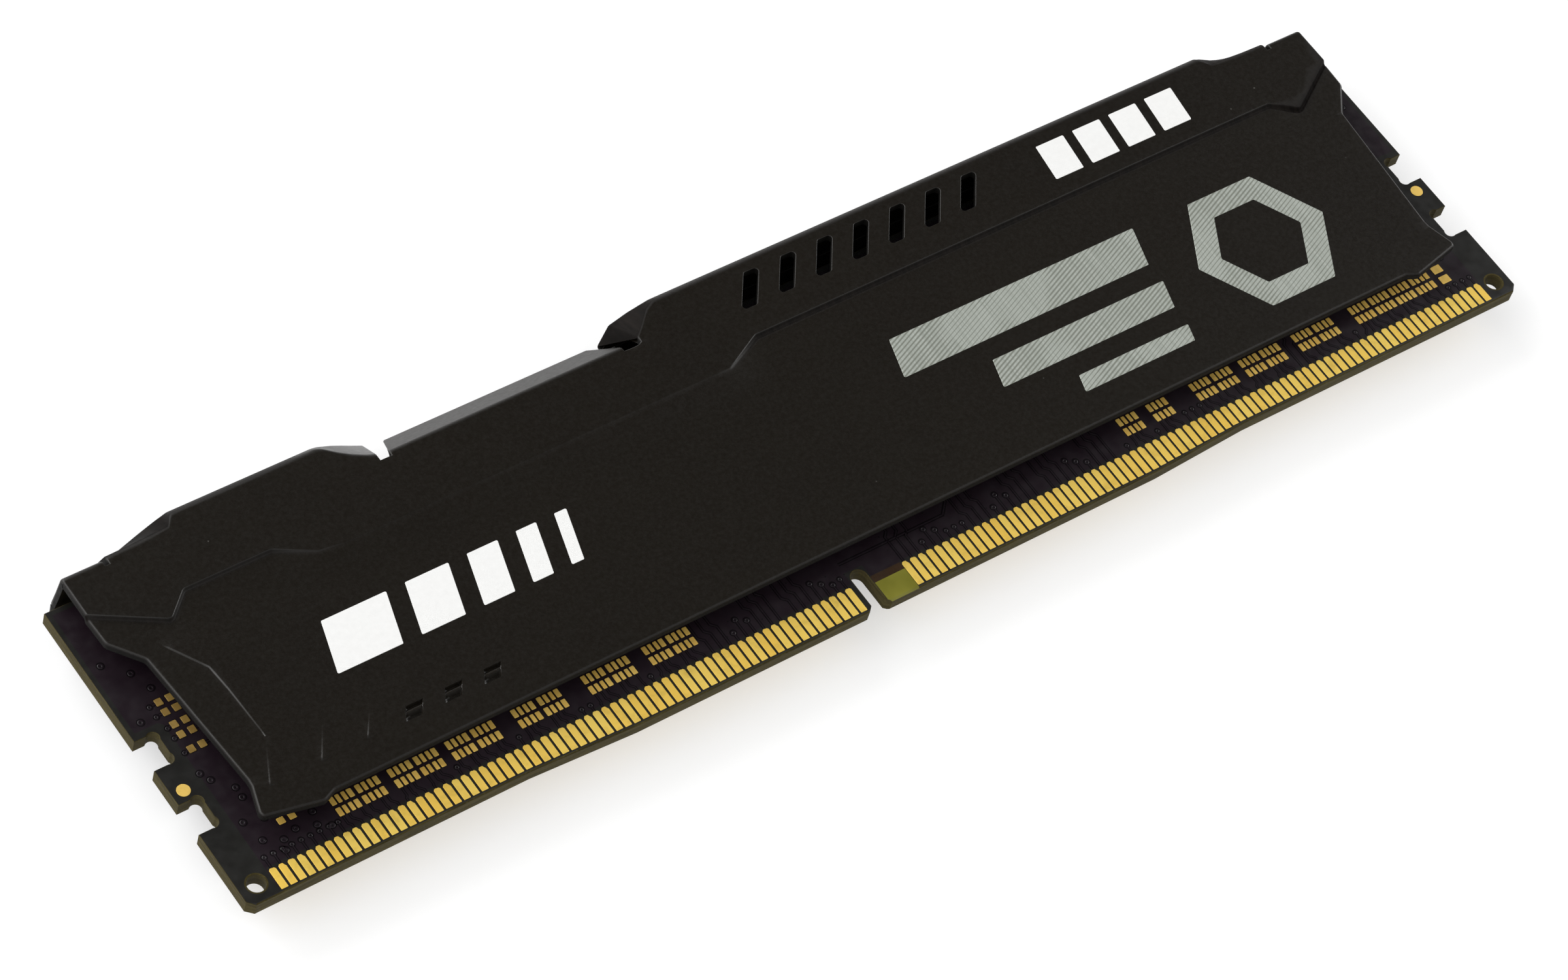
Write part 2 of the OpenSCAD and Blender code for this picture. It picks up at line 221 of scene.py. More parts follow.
def cdt(lines, outer, holes, extra=(), eps=1e-5):
    """Triangles of the region inside outer and outside holes. lines are (points, closed) constraint lines."""
    verts, edges = [], []
    for pts, closed in lines:
        base = len(verts)
        verts += [Vector((float(q[0]), float(q[1]))) for q in pts]
        n = len(pts)
        edges += [(base + i, base + (i + 1) % n) for i in range(n if closed else n - 1)]
    verts += [Vector((float(q[0]), float(q[1]))) for q in extra]
    v, e, f, *_ = delaunay_2d_cdt(verts, edges, [], 0, eps)
    v = np.array([(q.x, q.y) for q in v])
    f = np.array([t for t in f if len(t) == 3], int)
    c = v[f].mean(1)
    keep = inside(c, outer)
    for h in holes:
        keep &= ~inside(c, h)
    f = f[keep]
    area = np.cross(v[f[:, 1]] - v[f[:, 0]], v[f[:, 2]] - v[f[:, 0]])
    f = f[np.abs(area) > 1e-9]
    area = area[np.abs(area) > 1e-9]
    f[area < 0] = f[area < 0][:, ::-1]
    used = np.unique(f)
    remap = np.full(len(v), -1)
    remap[used] = np.arange(len(used))
    return v[used], remap[f]


def border(f):
    """Directed edges that only one triangle has."""
    e = np.vstack([f[:, [0, 1]], f[:, [1, 2]], f[:, [2, 0]]])
    key = {}
    for a, b in e:
        key[(int(a), int(b))] = True
    return [(a, b) for (a, b) in key if (b, a) not in key]


FILLET = [(1 - math.sin(math.radians(a)), 1 - math.cos(math.radians(a))) for a in (90, 68, 45, 22, 0)]


def drop(d, r):
    """How far a rounded edge of radius r falls at distance d inside the edge."""
    q = np.clip(r - d, 0, r)
    return r - np.sqrt(np.maximum(r * r - q * q, 0))


def smooth(t):
    t = np.clip(t, 0, 1)
    return t * t * (3 - 2 * t)


# ------------------------------------------------------------------ materials

class Mat:
    def __init__(self, name):
        self.m = bpy.data.materials.new(name)
        self.m.use_nodes = True
        self.t = self.m.node_tree
        self.t.nodes.clear()
        self.out = self.t.nodes.new("ShaderNodeOutputMaterial")
        self.b = self.t.nodes.new("ShaderNodeBsdfPrincipled")
        self.t.links.new(self.b.outputs[0], self.out.inputs[0])
        self.co = self.t.nodes.new("ShaderNodeTexCoord").outputs["Object"]

    def link(self, a, b):
        self.t.links.new(a, b)

    def set(self, **k):
        for key, value in k.items():
            self.b.inputs[key.replace("_", " ")].default_value = value

    def mapping(self, scale=(1, 1, 1), rot=(0, 0, 0)):
        n = self.t.nodes.new("ShaderNodeMapping")
        n.inputs["Scale"].default_value = scale
        n.inputs["Rotation"].default_value = rot
        self.link(self.co, n.inputs["Vector"])
        return n.outputs[0]

    def noise(self, scale, detail=2, rough=0.5, vec=None, distortion=0):
        n = self.t.nodes.new("ShaderNodeTexNoise")
        n.inputs["Scale"].default_value = scale
        n.inputs["Detail"].default_value = detail
        n.inputs["Roughness"].default_value = rough
        n.inputs["Distortion"].default_value = distortion
        self.link(vec if vec is not None else self.co, n.inputs["Vector"])
        return n.outputs["Fac"]

    def voronoi(self, scale, vec=None, feature="F1", out="Distance"):
        n = self.t.nodes.new("ShaderNodeTexVoronoi")
        n.feature = feature
        n.inputs["Scale"].default_value = scale
        self.link(vec if vec is not None else self.co, n.inputs["Vector"])
        return n.outputs[out]

    def wave(self, scale, vec=None, distortion=0, detail=1, dscale=1):
        n = self.t.nodes.new("ShaderNodeTexWave")
        n.inputs["Scale"].default_value = scale
        n.inputs["Distortion"].default_value = distortion
        n.inputs["Detail"].default_value = detail
        n.inputs["Detail Scale"].default_value = dscale
        self.link(vec if vec is not None else self.co, n.inputs["Vector"])
        return n.outputs["Fac"]

    def remap(self, fac, a, b, c, d):
        n = self.t.nodes.new("ShaderNodeMapRange")
        n.inputs["From Min"].default_value = a
        n.inputs["From Max"].default_value = b
        n.inputs["To Min"].default_value = c
        n.inputs["To Max"].default_value = d
        self.link(fac, n.inputs["Value"])
        return n.outputs[0]

    def math(self, op, a, b):
        n = self.t.nodes.new("ShaderNodeMath")
        n.operation = op
        for s, v in ((0, a), (1, b)):
            if isinstance(v, (int, float)):
                n.inputs[s].default_value = v
            else:
                self.link(v, n.inputs[s])
        return n.outputs[0]

    def mix(self, fac, a, b):
        n = self.t.nodes.new("ShaderNodeMix")
        n.data_type = "RGBA"
        self.link(fac, n.inputs["Factor"])
        for s, v in ((6, a), (7, b)):
            if isinstance(v, tuple):
                n.inputs[s].default_value = (*v, 1)
            else:
                self.link(v, n.inputs[s])
        return n.outputs[2]

    def attr(self, name):
        n = self.t.nodes.new("ShaderNodeAttribute")
        n.attribute_name = name
        return n.outputs["Fac"]

    def bump(self, height, strength, distance, normal=None):
        n = self.t.nodes.new("ShaderNodeBump")
        n.inputs["Strength"].default_value = strength
        n.inputs["Distance"].default_value = distance
        self.link(height, n.inputs["Height"])
        if normal is not None:
            self.link(normal, n.inputs["Normal"])
        return n.outputs[0]

    def colour(self, c):
        self.link(c, self.b.inputs["Base Color"])

    def rough(self, r):
        self.link(r, self.b.inputs["Roughness"])

    def normal(self, n):
        self.link(n, self.b.inputs["Normal"])


def spreader_material():
    m = Mat("spreader_black")
    m.set(Metallic=0.0, IOR=1.5)
    cloud = m.noise(90, 3, 0.6)
    grain = m.noise(5200, 2, 0.6)
    base = m.mix(m.remap(cloud, 0.35, 0.65, 0, 1), (0.0059, 0.0042, 0.0023), (0.0067, 0.0049, 0.0027))
    base = m.mix(m.remap(grain, 0.35, 0.75, 0, 0.5), base, (0.0105, 0.0086, 0.0058))
    # lighter colour from the vertex attribute: rubbed paint at edges, plus painted highlights along the strip step's
    # crest, the bends, the pocket rims and the bars' corners
    wear_and_highlight = m.math("MULTIPLY", m.attr("wear_and_highlight"), m.remap(m.noise(1500, 3, 0.7), 0.4, 0.7, 0.25, 1.0))
    base = m.mix(wear_and_highlight, base, (0.013, 0.013, 0.013))
    dust = m.remap(m.voronoi(330), 0.0, 0.034, 1, 0)
    dust = m.math("MULTIPLY", dust, m.remap(m.noise(240, 1), 0.60, 0.64, 0, 1))
    base = m.mix(m.math("MULTIPLY", dust, 0.5), base, (0.30, 0.29, 0.27))
    # painted shade: the shade attribute darkens the base colour towards a darker streaked colour, lowers the specular
    # level and raises roughness over the sheet's rounded edges, the strip's step and the humps' end flanks and roof
    # runs
    painted_shade = m.attr("shade")
    streak = m.noise(2400, 2, 0.6, m.mapping((1, 0.12, 0.12)))
    shaded_flank = m.mix(m.remap(streak, 0.35, 0.7, 0, 1), (0.0030, 0.0022, 0.0018), (0.0100, 0.0074, 0.0062))
    m.colour(m.mix(painted_shade, base, shaded_flank))
    m.link(m.remap(painted_shade, 0, 1, 0.46, 0.07), m.b.inputs["Specular IOR Level"])
    fine = m.remap(m.noise(2600, 2, 0.5), 0.3, 0.7, 0.31, 0.37)
    m.rough(m.math("ADD", fine, m.math("MULTIPLY", painted_shade, 0.5)))
    n = m.bump(grain, 0.22, 0.000012)
    m.normal(m.bump(m.noise(1900, 2, 0.5), 0.05, 0.00002, n))
    return m.m


def edge_material(name="spreader_cut_edge", a=(0.006, 0.006, 0.0055), b=(0.015, 0.014, 0.013), spec=0.1):
    """The cut edge of the sheet, where the finish is thinner."""
    m = Mat(name)
    m.set(Metallic=0.0, IOR=1.5, Specular_IOR_Level=spec)
    m.colour(m.mix(m.noise(2600, 3, 0.7), a, b))
    m.rough(m.remap(m.noise(1800, 2), 0.3, 0.7, 0.6, 0.8))
    streak = m.noise(3000, 2, 0.5, m.mapping((1, 1, 0.15)))
    m.normal(m.bump(streak, 0.3, 0.00002))
    return m.m


def mask_material(name, dark, light, spec=0.35):
    m = Mat(name)
    m.set(Metallic=0.0, IOR=1.5, Specular_IOR_Level=spec)
    c = m.mix(m.remap(m.noise(1500, 3, 0.6), 0.3, 0.7, 0.2, 0.8), dark, light)
    m.colour(c)
    m.rough(m.remap(m.noise(900, 2), 0.3, 0.7, 0.30, 0.42))
    weave = m.math("ADD", m.wave(420, m.mapping((1, 0, 0)), 0.6), m.wave(420, m.mapping((0, 1, 0), ), 0.6))
    n = m.bump(weave, 0.05, 0.00001)
    m.normal(m.bump(m.noise(2600, 2), 0.12, 0.00001, n))
    return m.m


def laminate_material():
    """The routed edge of the board: cut glass and resin in layers."""
    m = Mat("laminate_edge")
    m.set(Metallic=0.0, IOR=1.5, Specular_IOR_Level=0.1)
    layers = m.noise(1, 3, 0.6, m.mapping((260, 260, 5200)))
    c = m.mix(m.remap(layers, 0.35, 0.65, 0, 1), (0.032, 0.025, 0.006), (0.062, 0.049, 0.015))
    fibre = m.noise(1, 2, 0.6, m.mapping((3800, 3800, 7000)))
    c = m.mix(m.remap(fibre, 0.55, 0.8, 0, 0.5), c, (0.130, 0.112, 0.042))
    m.colour(c)
    m.rough(m.remap(fibre, 0.3, 0.7, 0.5, 0.75))
    m.normal(m.bump(fibre, 0.35, 0.00002))
    return m.m


def bare_material():
    """Laminate with no mask, beside the key slot: yellow-green glass cloth."""
    m = Mat("bare_laminate")
    m.set(Metallic=0.0, IOR=1.5, Specular_IOR_Level=0.4)
    c = m.mix(m.remap(m.noise(300, 3), 0.3, 0.7, 0, 1), (0.135, 0.130, 0.012), (0.21, 0.20, 0.028))
    w = m.math("MULTIPLY", m.wave(430, m.mapping((1, 0, 0)), 0.8), m.wave(430, m.mapping((0, 1, 0)), 0.8))
    c = m.mix(m.remap(w, 0, 1, 0, 0.35), c, (0.28, 0.27, 0.07))
    m.colour(c)
    m.rough(m.remap(w, 0, 1, 0.35, 0.5))
    m.normal(m.bump(w, 0.15, 0.00001))
    return m.m


def gold_material(name, a, b, rough=(0.40, 0.52), streak=0.25):
    m = Mat(name)
    m.set(Metallic=0.35, Specular_IOR_Level=0.5)
    tint = m.attr("tint")
    c = m.mix(tint, a, b)
    stain = m.remap(m.noise(700, 3, 0.6), 0.50, 0.72, 0, 0.6)
    c = m.mix(stain, c, tuple(x * 0.72 for x in a))
    m.colour(c)
    hair = m.noise(1, 3, 0.65, m.mapping((9000, 260, 260)))
    m.rough(m.remap(hair, 0.3, 0.7, *rough))
    n = m.bump(hair, streak, 0.000004)
    m.normal(m.bump(m.noise(2400, 2), 0.2, 0.000006, n))
    return m.m


def ink_material(name, a, b, rough, spec=0.5, metallic=0.0):
    m = Mat(name)
    m.set(Metallic=metallic, Specular_IOR_Level=spec)
    m.colour(m.mix(m.remap(m.noise(1900, 3, 0.7), 0.3, 0.7, 0, 1), a, b))
    m.rough(m.remap(m.noise(3500, 2), 0.3, 0.7, *rough))
    m.normal(m.bump(m.noise(6500, 2, 0.6), 0.25, 0.000008))
    return m.m


def silver_material():
    """Metallic print with fine diagonal hairlines, broad in places and thin in others."""
    m = Mat("silver_print")
    m.set(Metallic=0.35, IOR=1.5, Specular_IOR_Level=0.3)
    turn = (0, 0, math.radians(-111.9))
    line = m.wave(924, m.mapping((1, 1, 1), turn), 0.35, 2, 0.02)
    area_ = m.remap(m.noise(210, 1), 0.42, 0.58, 0.62, 0.93)
    dark = m.remap(m.math("SUBTRACT", line, area_), -0.16, 0.06, 0, 1)
    hair = m.noise(1, 3, 0.7, m.mapping((5200, 120, 120), turn))
    c = m.mix(m.remap(hair, 0.35, 0.65, 0, 1), (0.43, 0.46, 0.41), (0.52, 0.55, 0.50))
    c = m.mix(m.math("MULTIPLY", dark, 0.9), c, (0.24, 0.255, 0.215))
    m.colour(c)
    m.rough(m.remap(hair, 0, 1, 0.34, 0.5))
    m.normal(m.bump(m.math("ADD", dark, m.math("MULTIPLY", hair, 0.3)), 0.2, 0.000006))
    return m.m


def moulding_material(name, a, b, rough=(0.5, 0.7)):
    m = Mat(name)
    m.set(Metallic=0.0, Specular_IOR_Level=0.35)
    g = m.noise(4200, 3, 0.7)
    m.colour(m.mix(m.remap(g, 0.3, 0.7, 0, 1), a, b))
    m.rough(m.remap(m.noise(800, 2), 0.3, 0.7, *rough))
    m.normal(m.bump(g, 0.3, 0.00001))
    return m.m


def metal_material(name, a, b, rough=(0.3, 0.5)):
    m = Mat(name)
    m.set(Metallic=1.0)
    m.colour(m.mix(m.remap(m.noise(2400, 3, 0.6), 0.3, 0.7, 0, 1), a, b))
    m.rough(m.remap(m.noise(3200, 2), 0.3, 0.7, *rough))
    m.normal(m.bump(m.noise(3500, 2), 0.3, 0.00001))
    return m.m


M_SPREAD = spreader_material()
M_CUT = edge_material()
# painted shade: a darker copy of the cut-edge finish for the vents' walls, so the vents read dark inside
M_SLOT_WALL_SHADE = edge_material("spreader_slot_wall_painted_shade", (0.0025, 0.0022, 0.0018), (0.006, 0.0052, 0.0042), 0.15)
M_POUR = mask_material("mask_over_copper", (0.0096, 0.0053, 0.0084), (0.0140, 0.0080, 0.0118), 0.45)
M_MASK = mask_material("mask_over_laminate", (0.0100, 0.0097, 0.0086), (0.0140, 0.0135, 0.0120), 0.45)
M_LAM = laminate_material()
M_BARE = bare_material()
M_GOLD = gold_material("gold_plating", (0.98, 0.645, 0.105), (1.0, 0.72, 0.145))
M_LAND = gold_material("gold_lands", (0.88, 0.56, 0.115), (1.0, 0.68, 0.160), (0.42, 0.52), 0.1)
# painted shade: a darker copy of the lands' gold, used for the lands near the sheet's left edge
M_LAND_SHADE = gold_material("gold_lands_shaded", (0.30, 0.185, 0.045), (0.42, 0.27, 0.07), (0.42, 0.52), 0.1)
M_WHITE = ink_material("white_ink", (0.84, 0.84, 0.825), (0.88, 0.88, 0.865), (0.5, 0.65))
M_SILVER = silver_material()
M_LABEL = ink_material("label_paper", (0.66, 0.66, 0.63), (0.76, 0.76, 0.73), (0.55, 0.7), 0.4)
M_CHIP = moulding_material("moulding_compound", (0.010, 0.010, 0.011), (0.022, 0.022, 0.024))
M_PAD = moulding_material("thermal_pad", (0.20, 0.22, 0.25), (0.28, 0.30, 0.33), (0.7, 0.85))
M_TIN = metal_material("tinned_end", (0.55, 0.55, 0.56), (0.75, 0.75, 0.76))
M_CERAMIC = moulding_material("capacitor_ceramic", (0.20, 0.12, 0.065), (0.30, 0.19, 0.11), (0.45, 0.6))
M_GLAZE = moulding_material("resistor_glaze", (0.008, 0.008, 0.010), (0.018, 0.018, 0.020), (0.2, 0.35))
M_VIA = moulding_material("via_plug", (0.0015, 0.0012, 0.0014), (0.004, 0.003, 0.0035), (0.35, 0.5))

# ------------------------------------------------------- front heat spreader

RE = 0.24          # rounding of the sheet's cut edges
RS = 0.14          # the same beside slots and nicks
Z0 = 2.9           # outer face of the strip
ZR = -1.6          # free edge of the folded roof
ZF = Z0 - FIELD

RIDGE = rounded([(-1.0, 29.6), (7.45, 24.55), (9.75, 26.6), (17.9, 26.6), (21.2, 24.75), (24.0, 24.4), (62.1, 24.4),
                 (66.1, 26.3), (123.55, 26.3), (125.9, 24.55), (134.35, 29.6)], 0.55, 4, closed=False)
RIDGE_A = np.array(RIDGE)
CRISP_X = [0, 7.5, 8.2, 9.7, 17.9, 21.0, 24.0, 61.5, 64.0, 66.1, 123.5, 125.9, 134]
CRISP_V = [1, 1, 0.85, 0.80, 0.80, 0.30, 0.10, 0.10, 0.45, 0.80, 0.80, 1.0, 1]

BARS = [((6.1, 7.9), (8.2, 11.9), 1.35), ((10.9, 7.95), (13.1, 11.3), 1.6), ((15.2, 8.0), (17.0, 10.5), 1.6)]
POCKETS = [(18.78 + 3.74 * i) for i in range(3)]
RELIEF = [(5.45, 23.2), (7.75, 19.5), (8.0, 17.0), (8.25, 12.0)]


def pocket_poly(x0):
    return [(x0, 7.9), (x0 + 1.58, 7.9), (x0 + 2.34, 9.12), (x0 + 0.72, 9.12)]


def bar_poly(b):
    (x, y), (tx, ty), w = b
    return [(x, y), (x + w, y - 0.03), (tx + w, ty - 0.03), (tx, ty)]


def plate_relief(p):
    """How far the plate lies below the strip's plane at each point, and how much lighter its colour is made there:
    painted highlights along the strip step's crest, at the bars' corners and round the pockets' rims.
    """
    x, y = p[:, 0], p[:, 1]
    ry = np.interp(x, RIDGE_A[:, 0], RIDGE_A[:, 1])
    s = line_dist(p, RIDGE) * np.where(y >= ry, 1, -1)
    c = np.interp(x, CRISP_X, CRISP_V)
    step = smooth((0.13 - s) / 0.26)
    wide = smooth((0.2 - s) / 3.6)
    h = FIELD * (c * step + (1 - c) * wide)
    lip = 0.05 * c * np.interp(x, [25, 60], [0.15, 1]) * np.exp(-((s + 0.22) / 0.10) ** 2)
    h = h + lip
    # painted highlight: a thin light line along the crest of the strip's step
    wear_and_highlight = 0.35 * c * np.exp(-((s - 0.10) / 0.07) ** 2)
    lx = np.interp(y, [v[1] for v in RELIEF[::-1]], [v[0] for v in RELIEF[::-1]])
    d = line_dist(p, RELIEF) * np.where(x >= lx, 1, -1)
    fade = smooth((23.2 - y) / 0.7) * smooth((y - 9.5) / 3.0)
    h = h - 0.115 * np.interp(y, [11.0, 19.3], [0.4, 1]) * fade * smooth((d + 0.10) / 0.20) * (1 - smooth((d - 0.2) / 3.4))
    for b in BARS:
        (bx, by), (tx, ty), w = b
        tv = (y - by) / (ty - by)
        tu = (x - (bx + (tx - bx) * tv)) / w
        rise = smooth((tu * w + 0.08) / 0.16) * smooth((y - by + 0.08) / 0.16)
        fall = (1 - smooth(tu)) * np.clip(1 - tv, 0, 1)
        on = (tu > -0.2) & (tu < 1.0) & (tv > -0.1) & (tv < 1)
        h = h - np.where(on, 0.05 * rise * fall, 0)
        # painted highlight: a light spot at each bar's lower-left corner
        wear_and_highlight = wear_and_highlight + np.where(on, 0.9 * np.exp(-((x - bx - 0.1) ** 2 + (y - by - 0.1) ** 2) / 0.03), 0)
    for x0 in POCKETS:
        poly = pocket_poly(x0)
        d = line_dist(p, poly, True) * np.where(inside(p, poly), 1, -1)
        deep = 0.34 - 0.31 * np.exp(-(((y - 8.60) / 0.21) ** 4))
        h = h + np.where(d > -0.12, deep * smooth((d + 0.03) / 0.13), 0)
        # painted highlight: a faint light rim round each pocket
        wear_and_highlight = wear_and_highlight + 0.1 * np.exp(-((d + 0.04) / 0.06) ** 2)
    return h, wear_and_highlight


def table(xs, ys, r=0.3):
    xs, ys = np.array(xs, float), np.array(ys, float)

    def f(x):
        x = np.asarray(x, float)
        k = np.linspace(-r, r, 9)
        w = 1 - np.abs(k) / (r * 1.2)
        return (np.interp(x[..., None] + k, xs, ys) * w).sum(-1) / w.sum()
    return f


def end_cols(x, s, re=RE):
    return [x + s * re * f[0] for f in FILLET]


class Cap:
    """One length of the folded roof: a grid of columns along X and rows round the bend."""

    def __init__(self, x0, x1, mid, yf, zc, leg, shear=(0, 0, 1, 1), yc=None, yd=None, r1=0.75, r2=0.6, side=(RS, RS), panel=False, shade_run=None):
        self.x0, self.x1 = x0, x1
        self.shade_run = shade_run
        self.side, self.panel = side, panel
        cols = end_cols(x0, 1, side[0]) + [m for m in mid if x0 + 0.3 < m < x1 - 0.3] + end_cols(x1, -1, side[1])
        self.xs = np.array(sorted(set(round(c, 6) for c in cols)))
        self.leg = leg
        self.yf, self.zc = yf, zc
        self.yc = yc or (lambda x: TOP + 0 * x)
        self.yd = yd or self.yc
        self.s0, self.s1, self.w0, self.w1 = shear
        self.r1, self.r2 = r1, r2
        self.yj = yf(self.xs) - leg
        self.build()

    def shear(self, x):
        a = self.s0 * (1 - smooth((x - self.x0) / self.w0))
        b = self.s1 * (1 - smooth((self.x1 - x) / self.w1))
        return a + b

    def build(self):
        outer, inner, wear_and_highlight = [], [], []
        for i, x in enumerate(self.xs):
            sh = float(self.shear(x))
            B = np.array([float(self.yf(x)), Z0])
            xc = x
            for _ in range(3):
                zc = float(self.zc(xc))
                xc = x + sh * min(max((Z0 - zc) / (Z0 - ZR), 0), 1)
            C = np.array([float(self.yc(xc)), zc])
            D = np.array([float(self.yd(x)), ZR])
            P = np.array([self.yj[i], Z0])
            d0 = np.array([1.0, 0.0])
            lbc, lcd = np.hypot(*(C - B)), np.hypot(*(D - C))
            d1, d2 = (C - B) / lbc, (D - C) / lcd
            n0 = np.array([0.0, 1.0])
            n1, n2 = np.array([-d1[1], d1[0]]), np.array([-d2[1], d2[0]])
            th1 = math.acos(np.clip(d0 @ d1, -1, 1))
            th2 = math.acos(np.clip(d1 @ d2, -1, 1))
            t1 = min(self.r1 * math.tan(th1 / 2), 0.92 * self.leg, 0.46 * lbc)
            t2 = min(self.r2 * math.tan(th2 / 2) + 1e-3, 0.46 * lbc, 0.6 * lcd)
            re = min(RE, 0.85 * (lcd - t2))
            bi = B - T * (n0 + n1) / (1 + n0 @ n1)
            ci = C - T * (n1 + n2) / (1 + n1 @ n2)
            t1i = max(t1 - T * math.tan(th1 / 2), 0.02)
            t2i = max(t2 - T * math.tan(th2 / 2), 0.02)
            o, n, q = [P], [n0], [P - T * n0]

            def arc(corner, a, b, t, na, nb, icorner, ti, k=6):
                for m in range(k + 1):
                    u = m / k
                    o.append((1 - u) ** 2 * (corner - a * t) + 2 * u * (1 - u) * corner + u * u * (corner + b * t))
                    v = na * (1 - u) + nb * u
                    n.append(v / np.hypot(*v))
                    q.append((1 - u) ** 2 * (icorner - a * ti) + 2 * u * (1 - u) * icorner + u * u * (icorner + b * ti))
            arc(B, d0, d1, t1, n0, n1, bi, t1i)
            e = C - d1 * t2
            for u in (0.33, 0.67):
                o.append(o[7] * (1 - u) + e * u)
                n.append(n1)
                q.append(q[7] * (1 - u) + (ci - d1 * t2i) * u)
            arc(C, d1, d2, t2, n1, n2, ci, t2i)
            di = D - T * n2
            for fd, fz in FILLET[::-1]:
                o.append(D - d2 * re * fd)
                n.append(n2)
                q.append(di - d2 * re * fd)
            o, n, q = np.array(o), np.array(n), np.array(q)
            dz = np.zeros(len(o))
            dz[-5:] = [re * f[1] for f in FILLET[::-1]]
            side = max(float(drop(np.array([x - self.x0]), self.side[0])[0]), float(drop(np.array([self.x1 - x]), self.side[1])[0]))
            dz = np.maximum(dz, side) if side > 0 else dz
            corner = np.minimum(dz[-5:] + side * 0.5, RE + 0.1)
            dz[-5:] = np.maximum(dz[-5:], corner)
            oo = o - n * dz[:, None]
            w = np.clip((Z0 - o[:, 1]) / (Z0 - ZR), 0, 1)
            wi = np.clip((Z0 - T - q[:, 1]) / (Z0 - T - ZR), 0, 1)
            outer.append(np.column_stack([x + sh * w, oo]))
            inner.append(np.column_stack([x + sh * wi, q]))
            # painted highlight: the rows round both bends are lightened; rounded edges are lightened as rubbed paint
            # and painted highlight
            bend = np.zeros(len(o))
            bend[2:7] = 0.25
            bend[11:16] = 0.3
            wear_and_highlight.append(np.maximum(bend, np.clip(dz / RE * 1.2, 0, 1)))
        if self.panel:
            # the end is closed by a panel that runs straight from the front bend to the roof's rear edge
            a = outer[0].copy()
            k0, k1 = 4, len(a) - 5
            t = np.linspace(0, 1, k1 - k0 + 1)[:, None]
            flat = a[k0] * (1 - t) + a[k1] * t
            a[k0:k1 + 1] = flat
            bulge = outer[0] - a
            n = np.cross(outer[0][k1] - outer[0][k0], outer[0][(k0 + k1) // 2] - outer[0][k0])
            n = n / np.linalg.norm(n)
            n = n if n[0] < 0 else -n
            half = a + 0.5 * bulge
            ia, ih = a - n * 0.5, half - n * 0.5
            for q, src in ((ia, a), (ih, half)):
                keep = np.array([k for k in range(len(a)) if k < k0 or k > k1])
                q[keep] = inner[0][keep]
            outer = [a, half] + outer
            inner = [ia, ih] + inner
            wear_and_highlight = [wear_and_highlight[0] * 0.4, wear_and_highlight[0] * 0.3] + wear_and_highlight
        self.outer, self.inner = np.array(outer), np.array(inner)
        self.wear_and_highlight = np.array(wear_and_highlight)
        # painted shade: shade follows the lightened edges and bends, and is raised along the given runs of X, fading in
        # over the front bend rows
        self.shade = 0.45 * np.clip(self.wear_and_highlight * 1.2, 0, 1)
        if self.shade_run is not None:
            cols = self.outer[:, 10, 0]
            run = np.interp(cols, *self.shade_run)[:, None]
            rows = np.interp(np.arange(self.outer.shape[1]), [1, 5], [0, 1])[None, :]
            self.shade = np.maximum(self.shade, run * rows)

    def mesh(self, base):
        c, r, _ = self.outer.shape
        v = np.vstack([self.outer.reshape(-1, 3), self.inner.reshape(-1, 3)])
        f, idx = [], []
        o = lambda i, k: base + i * r + k
        q = lambda i, k: base + c * r + i * r + k
        for i in range(c - 1):
            for k in range(r - 1):
                f.append((o(i, k), o(i + 1, k), o(i + 1, k + 1), o(i, k + 1)))
                idx.append(0)
                f.append((q(i, k), q(i, k + 1), q(i + 1, k + 1), q(i + 1, k)))
                idx.append(0)
            f.append((o(i, r - 1), o(i + 1, r - 1), q(i + 1, r - 1), q(i, r - 1)))
            idx.append(1)
        for k in range(r - 1):
            f.append((o(0, k), o(0, k + 1), q(0, k + 1), q(0, k)))
            f.append((o(c - 1, k), q(c - 1, k), q(c - 1, k + 1), o(c - 1, k + 1)))
            idx += [1, 1]
        wear_and_highlight = np.concatenate([self.wear_and_highlight.ravel(), np.zeros(c * r)])
        shade = np.concatenate([self.shade.ravel(), np.zeros(c * r)])
        return v, f, idx, wear_and_highlight, shade

    def seam(self):
        return [(float(x), float(y)) for x, y in zip(self.xs, self.yj)]


def mirror_table(xs, ys):
    return [mx(x) for x in xs[::-1]], list(ys[::-1])


rng = np.arange
N0, N1 = 5.42, 5.80    # the nick beside the end tab
# painted shade runs: X stations and shade values for each cap's roof; the spreader material darkens these
cap1 = Cap(N1, 30.6,
           list(rng(6.4, 11.3, 0.45)) + list(rng(11.3, 13.3, 0.1)) + [14, 16, 18, 20, 22, 24, 25.2] + list(rng(25.7, 30.3, 0.2)),
           table([6.0, 9.9, 11.8, 12.55, 26.35, 26.9, 27.9, 28.9, 29.95, 31.0], [32.2, 32.25, 32.3, 33.35, 33.35, 33.1, 32.15, 31.42, 30.85, 30.5], 0.22),
           table([6.0, 7.9, 9.9, 11.8, 12.6, 26.3, 27.0, 28.3, 29.5, 30.6, 32.3, 33.0], [-1.5, -0.75, 0.7, 2.0, 2.3, 2.3, 2.15, 1.5, 0.75, 0.0, -1.1, -1.3], 0.25),
           0.48, (0, 1.65, 1, 4.2), shade_run=([6, 11.9, 12.7, 23.5, 26.4], [0.9, 0.9, 0.6, 0.6, 0]))
cap2 = Cap(31.64, 55.04, list(rng(32, 36.5, 0.5)) + [38, 42, 46, 50, 52.5] + list(rng(53.2, 54.8, 0.5)),
           lambda x: 30.45 + 0 * np.asarray(x, float), lambda x: -1.5 + 0 * np.asarray(x, float),
           0.35, (2.46, -0.34, 4.5, 2.0), r1=0.62, r2=0.3, shade_run=([30, 56], [0.29, 0.29]))
RX3 = [mx(v) for v in (12.55, 11.8, 9.9, 6.0)]
